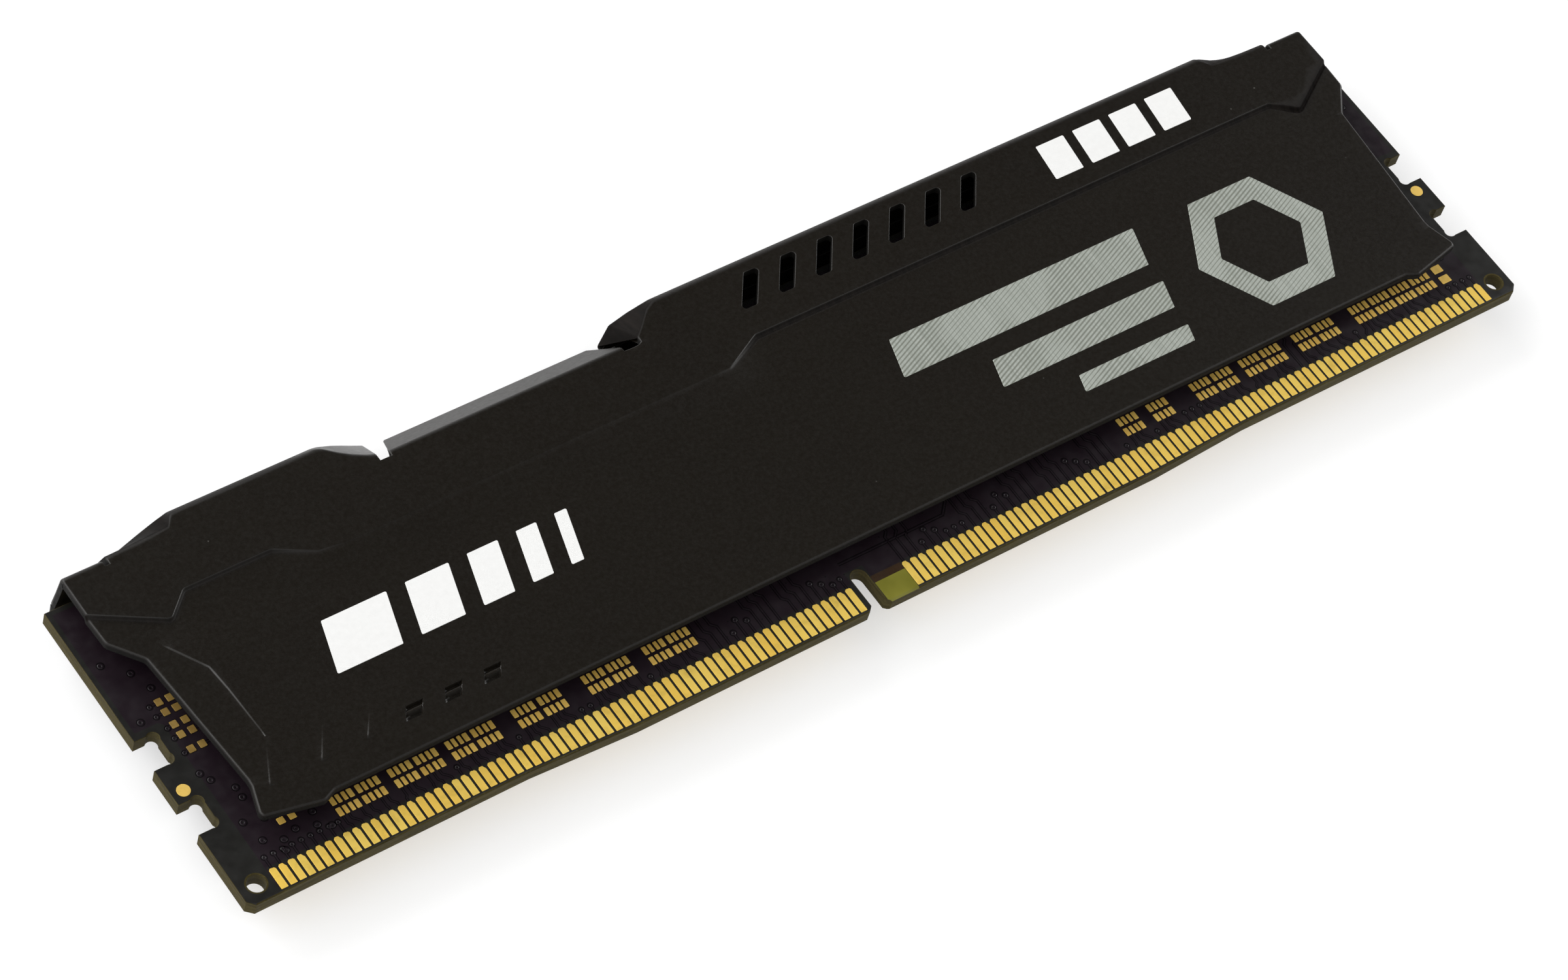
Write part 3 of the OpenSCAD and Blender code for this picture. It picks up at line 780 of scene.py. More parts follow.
cap3 = Cap(56.85, mx(N1), list(rng(57.0, 61.5, 0.2)) + list(rng(62, 121, 2.5))
           + list(rng(mx(13.2), mx(11.3), 0.1)) + list(rng(mx(11.2), mx(6.4), 0.45)),
           table([56.0, 56.7, 57.75, 59.2, 60.2, RX3[0], RX3[1], RX3[2], RX3[3]], [30.5, 30.62, 31.47, 32.85, 33.35, 33.35, 32.3, 32.25, 32.2], 0.22),
           table([55.2, 56.12, 58.2, 60.2, mx(12.6), mx(11.8), mx(9.9), mx(7.9), mx(6.0)], [-1.52, 0.94, 1.9, 2.35, 2.3, 2.0, 0.7, -0.75, -1.5], 0.2),
           0.48, (-1.15, 0, 4.2, 1), panel=True, shade_run=([56, 59.6, 60.9, mx(13.2), mx(12.0), mx(5.0)], [0.87, 0.87, 0.5, 0.5, 0.85, 0.85]))
flat_f = lambda v: (lambda x: v + 0 * np.asarray(x, float))
capE1 = Cap(SL, N0, [2.4, 3.4, 4.4], flat_f(32.0), flat_f(0.4), 0.48, yc=flat_f(32.43), yd=flat_f(32.85), r1=0.7, side=(RE, RS))
capE2 = Cap(mx(N0), mx(SL), [mx(4.4), mx(3.4), mx(2.4)], flat_f(32.0), flat_f(0.4), 0.48, yc=flat_f(32.43), yd=flat_f(32.85), r1=0.7, side=(RS, RE))

SIDE = [(SL, 28.0), (1.72, 25.2), (3.8, 22.5), (4.9, 9.3), (4.85, 8.65), (4.1, 6.3), (4.2, 5.85), (9.3, 4.8), (10.5, 5.3)]
NICK = 31.42
SLOT = 30.02


def build_front():
    left = [(SL, capE1.yj[0])] + SIDE
    right = [(mx(x), y) for x, y in left[::-1]]
    chain_a = left + right
    radii = [0] + [0.3, 0.7, 0.7, 0.4, 0.4, 0.5, 0.35, 0.5, 0.5]
    radii = radii + radii[::-1]
    chain_a = rounded(chain_a, radii, 6, closed=False)
    nick2 = [(mx(N0), capE2.yj[0]), (mx(N0), NICK), (mx(N1), NICK), (mx(N1), cap3.yj[-1])]
    slot2 = [(56.85, cap3.yj[0]), (56.55, SLOT + 0.07), (56.2, SLOT + 0.02), (55.6, SLOT + 0.02), (55.04, SLOT + 0.04), (55.04, cap2.yj[-1])]
    slot1 = [(31.64, cap2.yj[0]), (31.64, SLOT), (30.6, SLOT), (30.6, cap1.yj[-1])]
    nick1 = [(N1, cap1.yj[0]), (N1, NICK), (N0, NICK), (N0, capE1.yj[-1])]
    free = [chain_a, nick2, slot2, slot1, nick1]
    seams = [capE2.seam()[::-1], cap3.seam()[::-1], cap2.seam()[::-1], cap1.seam()[::-1], capE1.seam()[::-1]]
    outline = []
    for a, b in zip(free, seams):
        outline += list(a)[:-1]
        outline += list(b)[:-1] if b is not seams[-1] else list(b)[:-1]
    # vents
    vents = []
    for i in range(7):
        x, y, w, h, s = 66.5 + 3.95 * i, 28.95, 1.62, 3.3, 2.5
        vents.append(rounded([(x, y), (x + w, y), (x + w + s, y + h), (x + s, y + h)], 0.3, 4))
    # guides: the free boundary continued up the sides of the roof's pieces, so the rounding runs on
    up = [[(x, y), (x, 36.0)] for x, y in ((N1, NICK), (N0, NICK), (30.6, SLOT), (31.64, SLOT), (55.04, SLOT),
                                          (56.85, SLOT), (mx(N1), NICK), (mx(N0), NICK))]
    side = [[(x, 31.0), (x, 36.0)] for x in (SL, mx(SL))]

    def edge_distance(p):
        da = np.min([line_dist(p, c) for c in [free[0]] + side], 0)
        ds = np.min([line_dist(p, c) for c in free[1:] + up], 0)
        dv = np.min([line_dist(p, v, True) for v in vents], 0)
        return da, ds, dv

    VR = 0.06
    lines = [(outline, True)]
    for c in free:
        for fd, _ in FILLET[1:]:
            lines.append((offset(c, (RE if c is free[0] else RS) * fd, closed=False), False))
    for v in vents:
        lines.append((v, True))
        for fd, _ in FILLET[1:]:
            lines.append((offset(v, -VR * fd), True))
    rp = resample(RIDGE, 1.6)
    for s in (0.16, 0.12, 0.08, 0.04, 0.0, -0.04, -0.08, -0.13, -0.19, -0.26, -0.36, -0.47):
        lines.append((offset(rp, s, closed=False), False))
    for y in (23.7, 23.1, 22.4, 21.6, 20.7):
        lines.append((resample([(18.5, y), (67.5, y)], 1.6), False))
    rl = resample(RELIEF, 0.8)
    for s in (0.10, 0.05, 0.0, -0.05, -0.10, -0.5, -1.1, -1.8, -2.6, -3.5):
        lines.append((offset(rl, s, closed=False), False))
    for b in BARS:
        poly = bar_poly(b)
        for g in (-0.08, -0.03, 0.03, 0.08):
            lines.append((offset(resample(poly, 0.4, True), g), True))
        for f in (0.25, 0.5, 0.75):
            a0 = np.array(poly[0]) * (1 - f) + np.array(poly[1]) * f
            a1 = np.array(poly[3]) * (1 - f) + np.array(poly[2]) * f
            lines.append((resample([tuple(a0), tuple(a1)], 0.4), False))
    for x0 in POCKETS:
        poly = pocket_poly(x0)
        for g in (-0.03, 0.0, 0.03, 0.065, 0.10):
            lines.append((offset(resample(poly, 0.3, True), g), True))
        for f in np.linspace(0.12, 0.88, 9):
            a0 = np.array(poly[0]) * (1 - f) + np.array(poly[3]) * f
            a1 = np.array(poly[1]) * (1 - f) + np.array(poly[2]) * f
            lines.append((resample([tuple(a0 + (0.1, 0)), tuple(a1 - (0.1, 0))], 0.25), False))
    grid = np.array([(x, y) for x in np.arange(3.0, 131.0, 1.1) for y in np.arange(6.2, 31.6, 1.1)])
    clear = np.min([line_dist(grid, q, c) for q, c in lines], 0)
    v, f = cdt(lines, outline, vents, grid[clear > 0.3])
    da, ds, dv = edge_distance(v)
    h, wear_and_highlight = plate_relief(v)
    edge = np.maximum(drop(da, RE), drop(ds, RS))
    fall = np.maximum(edge, drop(dv, VR))
    zo = Z0 - h - fall
    zi = Z0 - h - T
    # rounded edges and vent rims lightened as rubbed paint and painted highlight
    wear_and_highlight = np.clip(wear_and_highlight + np.clip(edge / RE * 1.2, 0, 1) + 0.2 * np.clip(drop(dv, VR) / VR, 0, 1), 0, 1)
    n = len(v)
    verts = np.vstack([np.column_stack([v, zo]), np.column_stack([v, zi])])
    faces = [tuple(t) for t in f] + [tuple(int(i) + n for i in t[::-1]) for t in f]
    idx = [0] * len(faces)
    seam_lines = seams
    eb = border(f)
    mid = np.array([(v[a] + v[b]) / 2 for a, b in eb])
    on_seam = np.full(len(mid), 1e9)
    for s in seam_lines:
        on_seam = np.minimum(on_seam, line_dist(mid, s))
    on_free = np.full(len(mid), 1e9)
    for s in free:
        on_free = np.minimum(on_free, line_dist(mid, s))
    on_vent = np.min([line_dist(mid, s, True) for s in vents], 0)
    for (a, b), ds, df, dh in zip(eb, on_seam, on_free, on_vent):
        if ds < 2e-3 and df > 2e-3:
            continue
        faces.append((a, a + n, b + n, b))
        # vent walls take the painted-shade slot-wall material
        idx.append(2 if dh < 2e-3 else 1)
    # painted shade: darkens the strip's step and the groove below it, a band along the right arm, and the rounded edges
    s = line_dist(v, RIDGE) * np.where(v[:, 1] >= np.interp(v[:, 0], RIDGE_A[:, 0], RIDGE_A[:, 1]), 1, -1)
    ridge_shade = smooth((0.10 - s) / 0.08) * smooth((s + np.interp(v[:, 0], [25, 60], [0.32, 0.46])) / 0.20) * np.interp(v[:, 0], CRISP_X, CRISP_V) * np.interp(v[:, 0], [25, 60], [0.6, 1])
    ridge_shade = np.maximum(ridge_shade, 0.9 * np.exp(-(s / 0.3) ** 2) * (v[:, 0] > mx(9.5)))
    shade = np.clip(np.clip(edge / RE * 1.3, 0, 1) * np.interp(v[:, 0], [60, 110], [0.75, 1.0]) + ridge_shade, 0, 1)
    verts = [verts]
    wear_and_highlight_sets = [np.concatenate([wear_and_highlight, np.zeros(n)])]
    shades = [np.concatenate([shade, np.zeros(n)])]
    count = 2 * n
    for c in (capE1, cap1, cap2, cap3, capE2):
        cv, cf, ci, cw, cs = c.mesh(count)
        verts.append(cv)
        faces += cf
        idx += ci
        wear_and_highlight_sets.append(cw)
        shades.append(cs)
        count += len(cv)
    ob = make("front_spreader_shell", np.vstack(verts), faces, [M_SPREAD, M_CUT, M_SLOT_WALL_SHADE], idx, angle=38,
              wear_and_highlight=np.concatenate(wear_and_highlight_sets), shade=np.concatenate(shades), merge=0.003)
    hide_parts("front_heat_spreader")
    return ob


front = build_front()

# ---------------------------------------------------------------- the board

ES = 0.5           # the ends of the contact edge are stepped up by this
KX, KW, KD = 61.05, 1.5, 3.95
CT = 2.75          # top of the contacts
GAP = 0.03         # bare laminate and mask-only areas lie this far below the copper


def edge_y(x):
    return float(np.interp(x, [26.3, 36.5, 90.9, 101.1], [ES, 0, 0, ES]))


def arc_pts(c, r, a0, a1, n):
    return [(c[0] + r * math.cos(math.radians(a0 + (a1 - a0) * i / n)),
             c[1] + r * math.sin(math.radians(a0 + (a1 - a0) * i / n))) for i in range(n + 1)]


def notch_path(y):
    """A latch notch in the left edge, from its top down, with routed reliefs in its inner corners."""
    c1, c2, r = (1.5, y + 2.63), (1.5, y + 0.51), 0.55
    a = math.degrees(math.acos(0.37 / r))
    b = math.degrees(math.asin(0.316 / r))
    p = [(0, y + 3.0)]
    p += arc_pts(c1, r, 90 + a, -b, 12)
    p += arc_pts(c2, r, b, -(90 + math.degrees(math.acos(0.51 / r))), 12)
    p += [(0, y)]
    return p


def board_outline():
    c = 0.6
    p = [(c, ES), (26.3, ES), (36.5, 0), (KX - KW / 2 - 0.42, 0), (KX - KW / 2, 0.42)]
    p += arc_pts((KX, KD - KW / 2), KW / 2, 180, 0, 16)
    p += [(KX + KW / 2, 0.42), (KX + KW / 2 + 0.42, 0), (90.9, 0), (101.1, ES), (L - c, ES), (L, ES + c)]
    left = [(0, H)] + notch_path(14.6) + notch_path(8.0) + [(0, ES + c)]
    p += [(mx(x), y) for x, y in left[::-1]] + left
    return p


HOLES = [(1.6, 2.15), (mx(1.6), 2.15)]
POUR = [(0.45, 30.8), (0.45, 18.25), (2.55, 18.25), (2.9, 17.9), (2.9, 0.95), (3.02, 0.95), (3.02, 2.98), (60.1, 2.98),
        (60.1, 4.12), (62.0, 4.12), (62.0, 2.88), (65.1, 2.88), (65.1, 2.98), (mx(3.02), 2.98), (mx(3.02), 0.95), (mx(2.9), 0.95), (mx(2.9), 17.9),
        (mx(2.55), 18.25), (mx(0.45), 18.25), (mx(0.45), 30.8)]
BARE = [(61.92, -0.2), (65.05, -0.2), (65.05, 2.15), (61.92, 2.15)]
RIBBED = [(61.92, 2.15), (65.05, 2.15), (65.05, 2.85), (61.92, 2.85)]


def build_board():
    outer = board_outline()
    holes = [arc_pts(h, 0.8, 0, 360 - 15, 23) for h in HOLES]
    bottom = [(0.7, ES), (26.3, ES), (36.5, 0), (90.9, 0), (101.1, ES), (L - 0.7, ES)]
    lines = [(outer, True)] + [(h, True) for h in holes]
    lines += [(offset(outer, 0.035), True), (offset(outer, 0.12), True)]
    lines += [(arc_pts(h, r, 0, 345, 23), True) for h in HOLES for r in (0.84, 0.95)]
    lines += [([(x, y + 0.16) for x, y in bottom], False)]
    lines += [(resample(POUR, 6, True), True), (BARE, True), (RIBBED, True)]
    lines += [(arc_pts((KX, KD - KW / 2), KW / 2 + 0.06, 0, 180, 16), False),
              ([(KX + KW / 2 + 0.06, KD - KW / 2), (KX + KW / 2 + 0.06, -0.2)], False),
              ([(KX - KW / 2 - 0.06, KD - KW / 2), (KX - KW / 2 - 0.06, -0.2)], False)]
    v, f = cdt(lines, outer, holes)
    n = len(v)
    d = np.minimum(line_dist(v, outer, True), np.min([line_dist(v, h, True) for h in holes], 0))
    db = line_dist(v, bottom)
    round_ = drop(d, 0.035) * 0.8
    bevel = 0.15 * np.clip(1 - db / 0.16, 0, 1) * ((v[:, 1] < 0.9) & (np.abs(v[:, 0] - L / 2) < L / 2 - 0.5))
    fall = np.maximum(round_, bevel)
    c = v[f].mean(1)
    in_pour = inside(c, POUR)
    ring = np.min([np.hypot(*(c - np.array(h)).T) for h in HOLES], 0) < 0.95
    key = (line_dist(c, arc_pts((KX, KD - KW / 2), KW / 2, 0, 180, 16) + [(KX - KW / 2, 0)], False) < 0.06) | \
          (np.abs(c[:, 0] - KX) < KW / 2 + 0.06) & (c[:, 1] < KD - KW / 2)
    key |= line_dist(c, outer, True) < 0.03
    mi = np.where(in_pour, 1, 0)
    mi = np.where(ring | key, 2, mi)
    mi = np.where(inside(c, BARE), 3, mi)
    mi = np.where(inside(c, RIBBED), 4, mi)
    cb = db[f].mean(1)
    mi = np.where((cb < 0.11) & (c[:, 1] < 0.9) & (mi != 3), 2, mi)
    z = -fall
    # front and back faces, then the walls
    verts = [np.column_stack([v, z]), np.column_stack([v, -BT - z])]
    faces = [tuple(t) for t in f] + [tuple(int(i) + n for i in t[::-1]) for t in f]
    idx = list(mi) + list(mi)
    for a, b in border(f):
        faces.append((a, a + n, b + n, b))
        idx.append(2)
    ob = make("board", np.vstack(verts), faces, [M_MASK, M_POUR, M_LAM, M_BARE, M_RIB], idx, angle=30, merge=0.0005)
    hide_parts("pcb")
    return ob


def prism(poly, z0, z1, bevel=0.0):
    """Closed solid of a convex outline from z0 up to z1, its top edge bevelled."""
    p = np.array(poly, float)
    n = len(p)
    up = z1 > z0
    s = 1 if up else -1
    rings = [np.column_stack([p, np.full(n, z0)])]
    if bevel > 0:
        rings.append(np.column_stack([p, np.full(n, z1 - s * bevel)]))
        q = offset(p, bevel * 0.35)
        rings.append(np.column_stack([q, np.full(n, z1 - s * bevel * 0.35)]))
        rings.append(np.column_stack([offset(p, bevel), np.full(n, z1)]))
    else:
        rings.append(np.column_stack([p, np.full(n, z1)]))
    v = np.vstack(rings)
    f = []
    m = len(rings)
    for k in range(m - 1):
        for i in range(n):
            j = (i + 1) % n
            f.append((k * n + i, k * n + j, (k + 1) * n + j, (k + 1) * n + i))
    f.append(tuple(range((m - 1) * n, m * n)))
    f.append(tuple(range(n - 1, -1, -1)))
    if not up:
        f = [t[::-1] for t in f]
    return v, f


class Bag:
    """Collects many small solids into one object."""

    def __init__(self):
        self.v, self.f, self.i, self.t, self.n = [], [], [], [], 0

    def add(self, v, f, index=0, tint=0.0, move=(0, 0, 0)):
        v = np.asarray(v, float) + np.array(move)
        self.v.append(v)
        self.f += [tuple(int(k) + self.n for k in face) for face in f]
        self.i += [index] * len(f) if isinstance(index, int) else list(index)
        self.t.append(np.full(len(v), tint))
        self.n += len(v)

    def done(self, name, mats, slot=None, nodes=(), angle=35, weighted=False):
        ob = make(name, np.vstack(self.v), self.f, mats, self.i, angle=angle, weighted=weighted, tint=np.concatenate(self.t))
        if nodes:
            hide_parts(*nodes)
        return ob


rs = np.random.RandomState(11)
CX = [3.35 + 0.85 * i for i in range(67)] + [65.40 + 0.85 * i for i in range(77)]
AX = [11.62, 14.06, 17.10, 19.54, 22.55, 24.99, 28.90, 31.40, 35.74, 38.16, 41.75, 44.17, 91.80, 95.15, 100.00, 102.45,
      105.62, 108.04, 111.75, 114.20, 118.40, 120.80, 123.20, 125.60]
AY = 5.08


def contact_outline(x, i):
    y0 = edge_y(x) + 0.25
    w = 0.31
    if i % 2:
        top = [(w, CT - 0.34), (w - 0.10, CT - 0.18), (w - 0.17, CT - 0.02), (w - 0.26, CT), (-w + 0.13, CT), (-w, CT - 0.17)]
    else:
        top = [(w, CT - 0.16), (w - 0.12, CT - 0.03), (0.06, CT - 0.03), (-0.02, CT), (-w + 0.14, CT), (-w, CT - 0.15)]
    return [(x - w + 0.03, y0), (x + w - 0.03, y0), (x + w, y0 + 0.03)] + [(x + a, b) for a, b in top] + [(x - w, y0 + 0.03)]


def build_contacts():
    for name, side in (("edge_contacts_front", 1), ("edge_contacts_rear", -1)):
        bag = Bag()
        for i, x in enumerate(CX):
            o = contact_outline(x, i)
            if side > 0:
                v, f = prism(o, -0.01, 0.04, 0.022)
            else:
                v, f = prism(o, -BT + 0.01, -BT - 0.04, 0.022)
            bag.add(v, f, 0, rs.rand())
        bag.done(name, [M_GOLD], "gold", ("contacts_front" if side > 0 else "contacts_rear",), angle=25)


def round_rect(x, y, w, h, r=0.08, n=3):
    return rounded([(x - w / 2, y - h / 2), (x + w / 2, y - h / 2), (x + w / 2, y + h / 2), (x - w / 2, y + h / 2)], r, n)


def pad_rects():
    out = []
    for x in AX:
        for r in (-1, 1):
            for k in (-1.5, -0.5, 0.5, 1.5):
                out.append((x + k * 0.555, AY + r * 0.55, 0.44 if abs(k) > 1 else 0.35, 0.80))
    for y in (14.98, 16.50, 17.55, 18.85, 19.88):
        out += [(3.63, y, 0.62, 0.68), (4.64, y, 0.62, 0.68)]
    out += [(6.3, 6.05, 0.62, 0.62), (7.3, 6.05, 0.62, 0.62)]
    out += [(127.8, AY - 0.6, 1.05, 0.80), (127.8, AY + 0.6, 1.05, 0.80)]
    return out


def build_lands():
    bag = Bag()
    wells = Bag()
    for x, y, w, h in pad_rects():
        v, f = prism(round_rect(x, y, w, h, 0.07), -0.01, 0.035, 0.018)
        # lands left of X = 5 take the painted-shade gold
        bag.add(v, f, 1 if x < 5 else 0, rs.rand())
        v, f = prism(round_rect(x, y, w + 0.11, h + 0.11, 0.09), -0.02, 0.008)
        wells.add(v, f)
    for x, y in ((1.08, 12.0), (132.0, 13.55)):
        v, f = prism(arc_pts((x, y), 0.575, 0, 350, 35), -0.01, 0.03, 0.015)
        bag.add(v, f, 0, 0.9)
        v, f = prism(arc_pts((x, y), 0.62, 0, 350, 35), -0.02, 0.005)
        wells.add(v, f)
    bag.done("component_lands", [M_LAND, M_LAND_SHADE], "gold", ("component_lands_front",), angle=25)
    wells.done("mask_openings", [M_VIA], "board", (), angle=25)


def ribbon(pts, w, z0, z1, bevel=0.012):
    """A raised line of width w along pts."""
    p = np.array(pts, float)
    a, b = offset(p, w / 2, False), offset(p, -w / 2, False)
    ai, bi = offset(p, w / 2 - bevel, False), offset(p, -w / 2 + bevel, False)
    n = len(p)
    v = np.vstack([np.column_stack([b, np.full(n, z0)]), np.column_stack([bi, np.full(n, z1)]),
                   np.column_stack([ai, np.full(n, z1)]), np.column_stack([a, np.full(n, z0)])])
    f = []
    for k in range(4):
        k2 = (k + 1) % 4
        for i in range(n - 1):
            f.append((k * n + i, k * n + i + 1, k2 * n + i + 1, k2 * n + i))
    f.append((0, n, 2 * n, 3 * n))
    f.append((4 * n - 1, 3 * n - 1, 2 * n - 1, n - 1))
    return v, f


def disc(x, y, r0, r1, z0, z1, n=20):
    """A shallow dome or ring: outer radius r1 at z0, rising to z1 and to a dimple of radius r0."""
    prof = [(r1, z0), (r1 - 0.03, z0 + (z1 - z0) * 0.8), (r1 - 0.07, z1), (r0 + 0.04, z1), (r0, z0 + (z1 - z0) * 0.3)]
    v, f = [], []
    for r, z in prof:
        v += [(x + r * math.cos(2 * math.pi * i / n), y + r * math.sin(2 * math.pi * i / n), z) for i in range(n)]
    for k in range(len(prof) - 1):
        for i in range(n):
            j = (i + 1) % n
            f.append((k * n + i, k * n + j, (k + 1) * n + j, (k + 1) * n + i))
    last = (len(prof) - 1) * n
    f.append(tuple(last + i for i in range(n)))
    f.append(tuple(n - 1 - i for i in range(n)))
    return np.array(v), f


def build_tracks():
    tracks, clear, vias = Bag(), Bag(), Bag()

    def track(pts, w=0.13, gap=0.09):
        tracks.add(*ribbon(pts, w, 0.0, 0.026))
        clear.add(*ribbon(pts, w + 2 * gap, -0.004, 0.006, 0.003))

    def via(x, y, r=0.24, plug=True):
        clear.add(*prism(arc_pts((x, y), r + 0.10, 0, 345, 23), -0.004, 0.008))
        v, f = disc(x, y, 0.085, r, 0.0, 0.030)
        vias.add(v, f[:-2] + [f[-1]], 0)
        vias.add(v, [f[-2]], 1)

    px = sorted(round(x + k * 0.555, 3) for x in AX for k in (-1.5, -0.5, 0.5, 1.5))
    free_c = list(CX)
    last = -9.0
    for x in px:
        near = [q for q in free_c if q > last + 0.5 and abs(q - x) < 0.58]
        if not near:
            continue
        c = min(near, key=lambda q: abs(q - x))
        last = c
        free_c.remove(c)
        track([(c, 2.80), (c, 3.10), (x, 3.12 + abs(x - c)), (x, 4.20)], 0.11, 0.07)
    # the other contacts: straight runs with a shared jog, and short stubs that end in a via
    runs = [(45.6, 59.0, -1), (62.0, 70.2, 1), (72.6, 90.0, -1), (109.5, 110.9, 1)]
    for lo_x, hi_x, s in runs:
        group = [c for c in free_c if lo_x < c < hi_x]
        for i, c in enumerate(group):
            q = (i * 7 + 3) % 10
            if q in (1, 4, 8):
                y = 3.45 + 0.5 * ((i * 5) % 3)
                track([(c, 2.80), (c, y)], 0.13, 0.08)
                via(c, y + 0.2, 0.23)
            elif q != 6:
                block_i = i // 5
                step = 0.34 * (i % 5)
                y1 = 4.15 + (step if s < 0 else 1.36 - step) + 0.35 * (block_i % 2)
                track([(c, 2.80), (c, y1), (c + s * 0.42, y1 + 0.42), (c + s * 0.42, 9.0)], 0.13, 0.08)
    for c in free_c:
        if not any(lo_x < c < hi_x for lo_x, hi_x, s in runs) and 3.0 < c < 130.3:
            gap = min(abs(c - q) for q in px)
            if gap > 0.30:
                y = 3.25 + 0.22 * (int(c * 7) % 3)
                track([(c, 2.80), (c, y)], 0.12, 0.07)
                via(c, y + 0.14, 0.19)
    track([(60.2, 5.05), (71.2, 5.05), (72.2, 6.05), (72.2, 9.0)], 0.13, 0.10)
    for x, y in ((1.35, 24.9), (1.4, 18.9), (3.8, 21.3), (3.1, 23.2), (3.0, 12.7), (3.45, 11.8), (4.8, 10.3), (4.8, 9.3), (3.6, 7.3),
                 (5.3, 6.9), (4.1, 5.2), (5.6, 4.5), (5.2, 3.6), (6.9, 4.9), (8.9, 5.6), (8.6, 4.4), (9.6, 3.8),
                 (mx(3.9), 21.5), (mx(3.4), 12.4), (mx(3.6), 8.2), (mx(3.8), 24.0), (mx(4.4), 6.6), (mx(1.4), 24.4), (mx(4.9), 10.1)):
        via(x, y, 0.27)
    for y in (14.98, 16.50, 17.55, 18.85, 19.88):
        track([(3.4, y), (3.05, y - 0.05)], 0.16, 0.08)
        via(2.98 if y < 18.25 else 2.75, y - 0.1, 0.20)
        track([(4.9, y), (7.5, y)], 0.14, 0.08)
    for k in range(22):
        x = 46.5 + 43.0 * rs.rand()
        y = 3.25 + 2.9 * rs.rand()
        vias.add(*prism(arc_pts((x, y), 0.07, 0, 330, 11), 0.0, 0.012), 1)
    tracks.done("copper_tracks", [M_TRACK], "board", (), angle=25)
    clear.done("track_clearances", [M_CLEAR], "board", (), angle=25)
    vias.done("vias", [M_TRACK, M_VIA], "board", (), angle=40)


M_RIB = mask_material("ribbed_mask", (0.024, 0.0120, 0.0055), (0.045, 0.025, 0.012), 0.3)
M_TRACK = mask_material("mask_over_tracks", (0.0085, 0.0050, 0.0078), (0.0150, 0.0095, 0.0135), 0.35)
M_CLEAR = mask_material("mask_in_clearance", (0.0028, 0.0018, 0.0026), (0.0050, 0.0036, 0.0045), 0.2)
build_board()
build_contacts()
build_lands()
build_tracks()

# ------------------------------------------------------------------- prints


def surface_z(p):
    h, _ = plate_relief(np.asarray(p, float).reshape(-1, 2))
    return Z0 - h


def print_piece(bag, poly, rise=0.018, step=1.2, sink=0.02, holes=(), index=0):
    """A printed shape that lies on the sheet's own surface."""
    lines = [(resample(poly, step, True), True)] + [(resample(h, step, True), True) for h in holes]
    inner = offset(poly, 0.02)
    lines.append((resample(inner, step, True), True))
    v, f = cdt(lines, poly, holes)
    n = len(v)
    z = surface_z(v)
    d = line_dist(v, poly, True)
    for h in holes:
        d = np.minimum(d, line_dist(v, h, True))
    top = z + rise * np.clip(0.35 + d / 0.02, 0, 1)
    verts = np.vstack([np.column_stack([v, top]), np.column_stack([v, z - sink])])
    faces = [tuple(t) for t in f] + [tuple(int(i) + n for i in t[::-1]) for t in f]
    for a, b in border(f):
        faces.append((a, a + n, b + n, b))
    bag.add(verts, faces, index, rs.rand())


def slant(x, y, w, h, lean, r=0.12):
    return rounded([(x, y), (x + w, y), (x + w + lean, y + h), (x + lean, y + h)], r, 4)


def build_prints():
    white = Bag()
    for x, w in ((16.4, 6.2), (24.4, 4.2), (30.4, 3.0), (35.2, 2.0), (39.0, 1.2)):
        print_piece(white, slant(x, 14.2, w, 4.9, 1.5))
    for i in range(4):
        print_piece(white, slant(100.3 + i * 4.15, 28.1, 3.1, 3.8, 0.5))
    white.done("white_bars", [M_WHITE], "white_ink", ("white_print",), angle=30)
    silver = Bag()
    print_piece(silver, slant(75.2, 16.9, 27.0, 3.9, 1.2))
    print_piece(silver, slant(82.4, 12.1, 19.0, 2.8, 0.86))
    print_piece(silver, slant(88.6, 8.4, 12.2, 1.7, 0.52))
    ring = [(113.2 + 7.2 * math.cos(math.radians(60 * k)), 14.4 + 7.2 * math.sin(math.radians(60 * k))) for k in range(6)]
    hole = [(113.2 + 4.6 * math.cos(math.radians(60 * k)), 14.4 + 4.6 * math.sin(math.radians(60 * k))) for k in range(6)]
    print_piece(silver, rounded(ring, 0.2, 3), holes=[rounded(hole, 0.2, 3)])
    silver.done("silver_bars", [M_SILVER], "silver_ink", ("silver_print",), angle=30)


build_prints()

# -------------------------------------------------------- rear heat spreader

LIP_Z = -1.75
LIPS = [(6.0, 31.4, 33.95), (36.2, 54.2, 33.95), (57.2, mx(6.0), 33.95)]
END_LIPS = [(SL, 5.2, 32.85), (mx(5.2), mx(SL), 32.85)]
BEND = 0.9          # outer radius of the bend


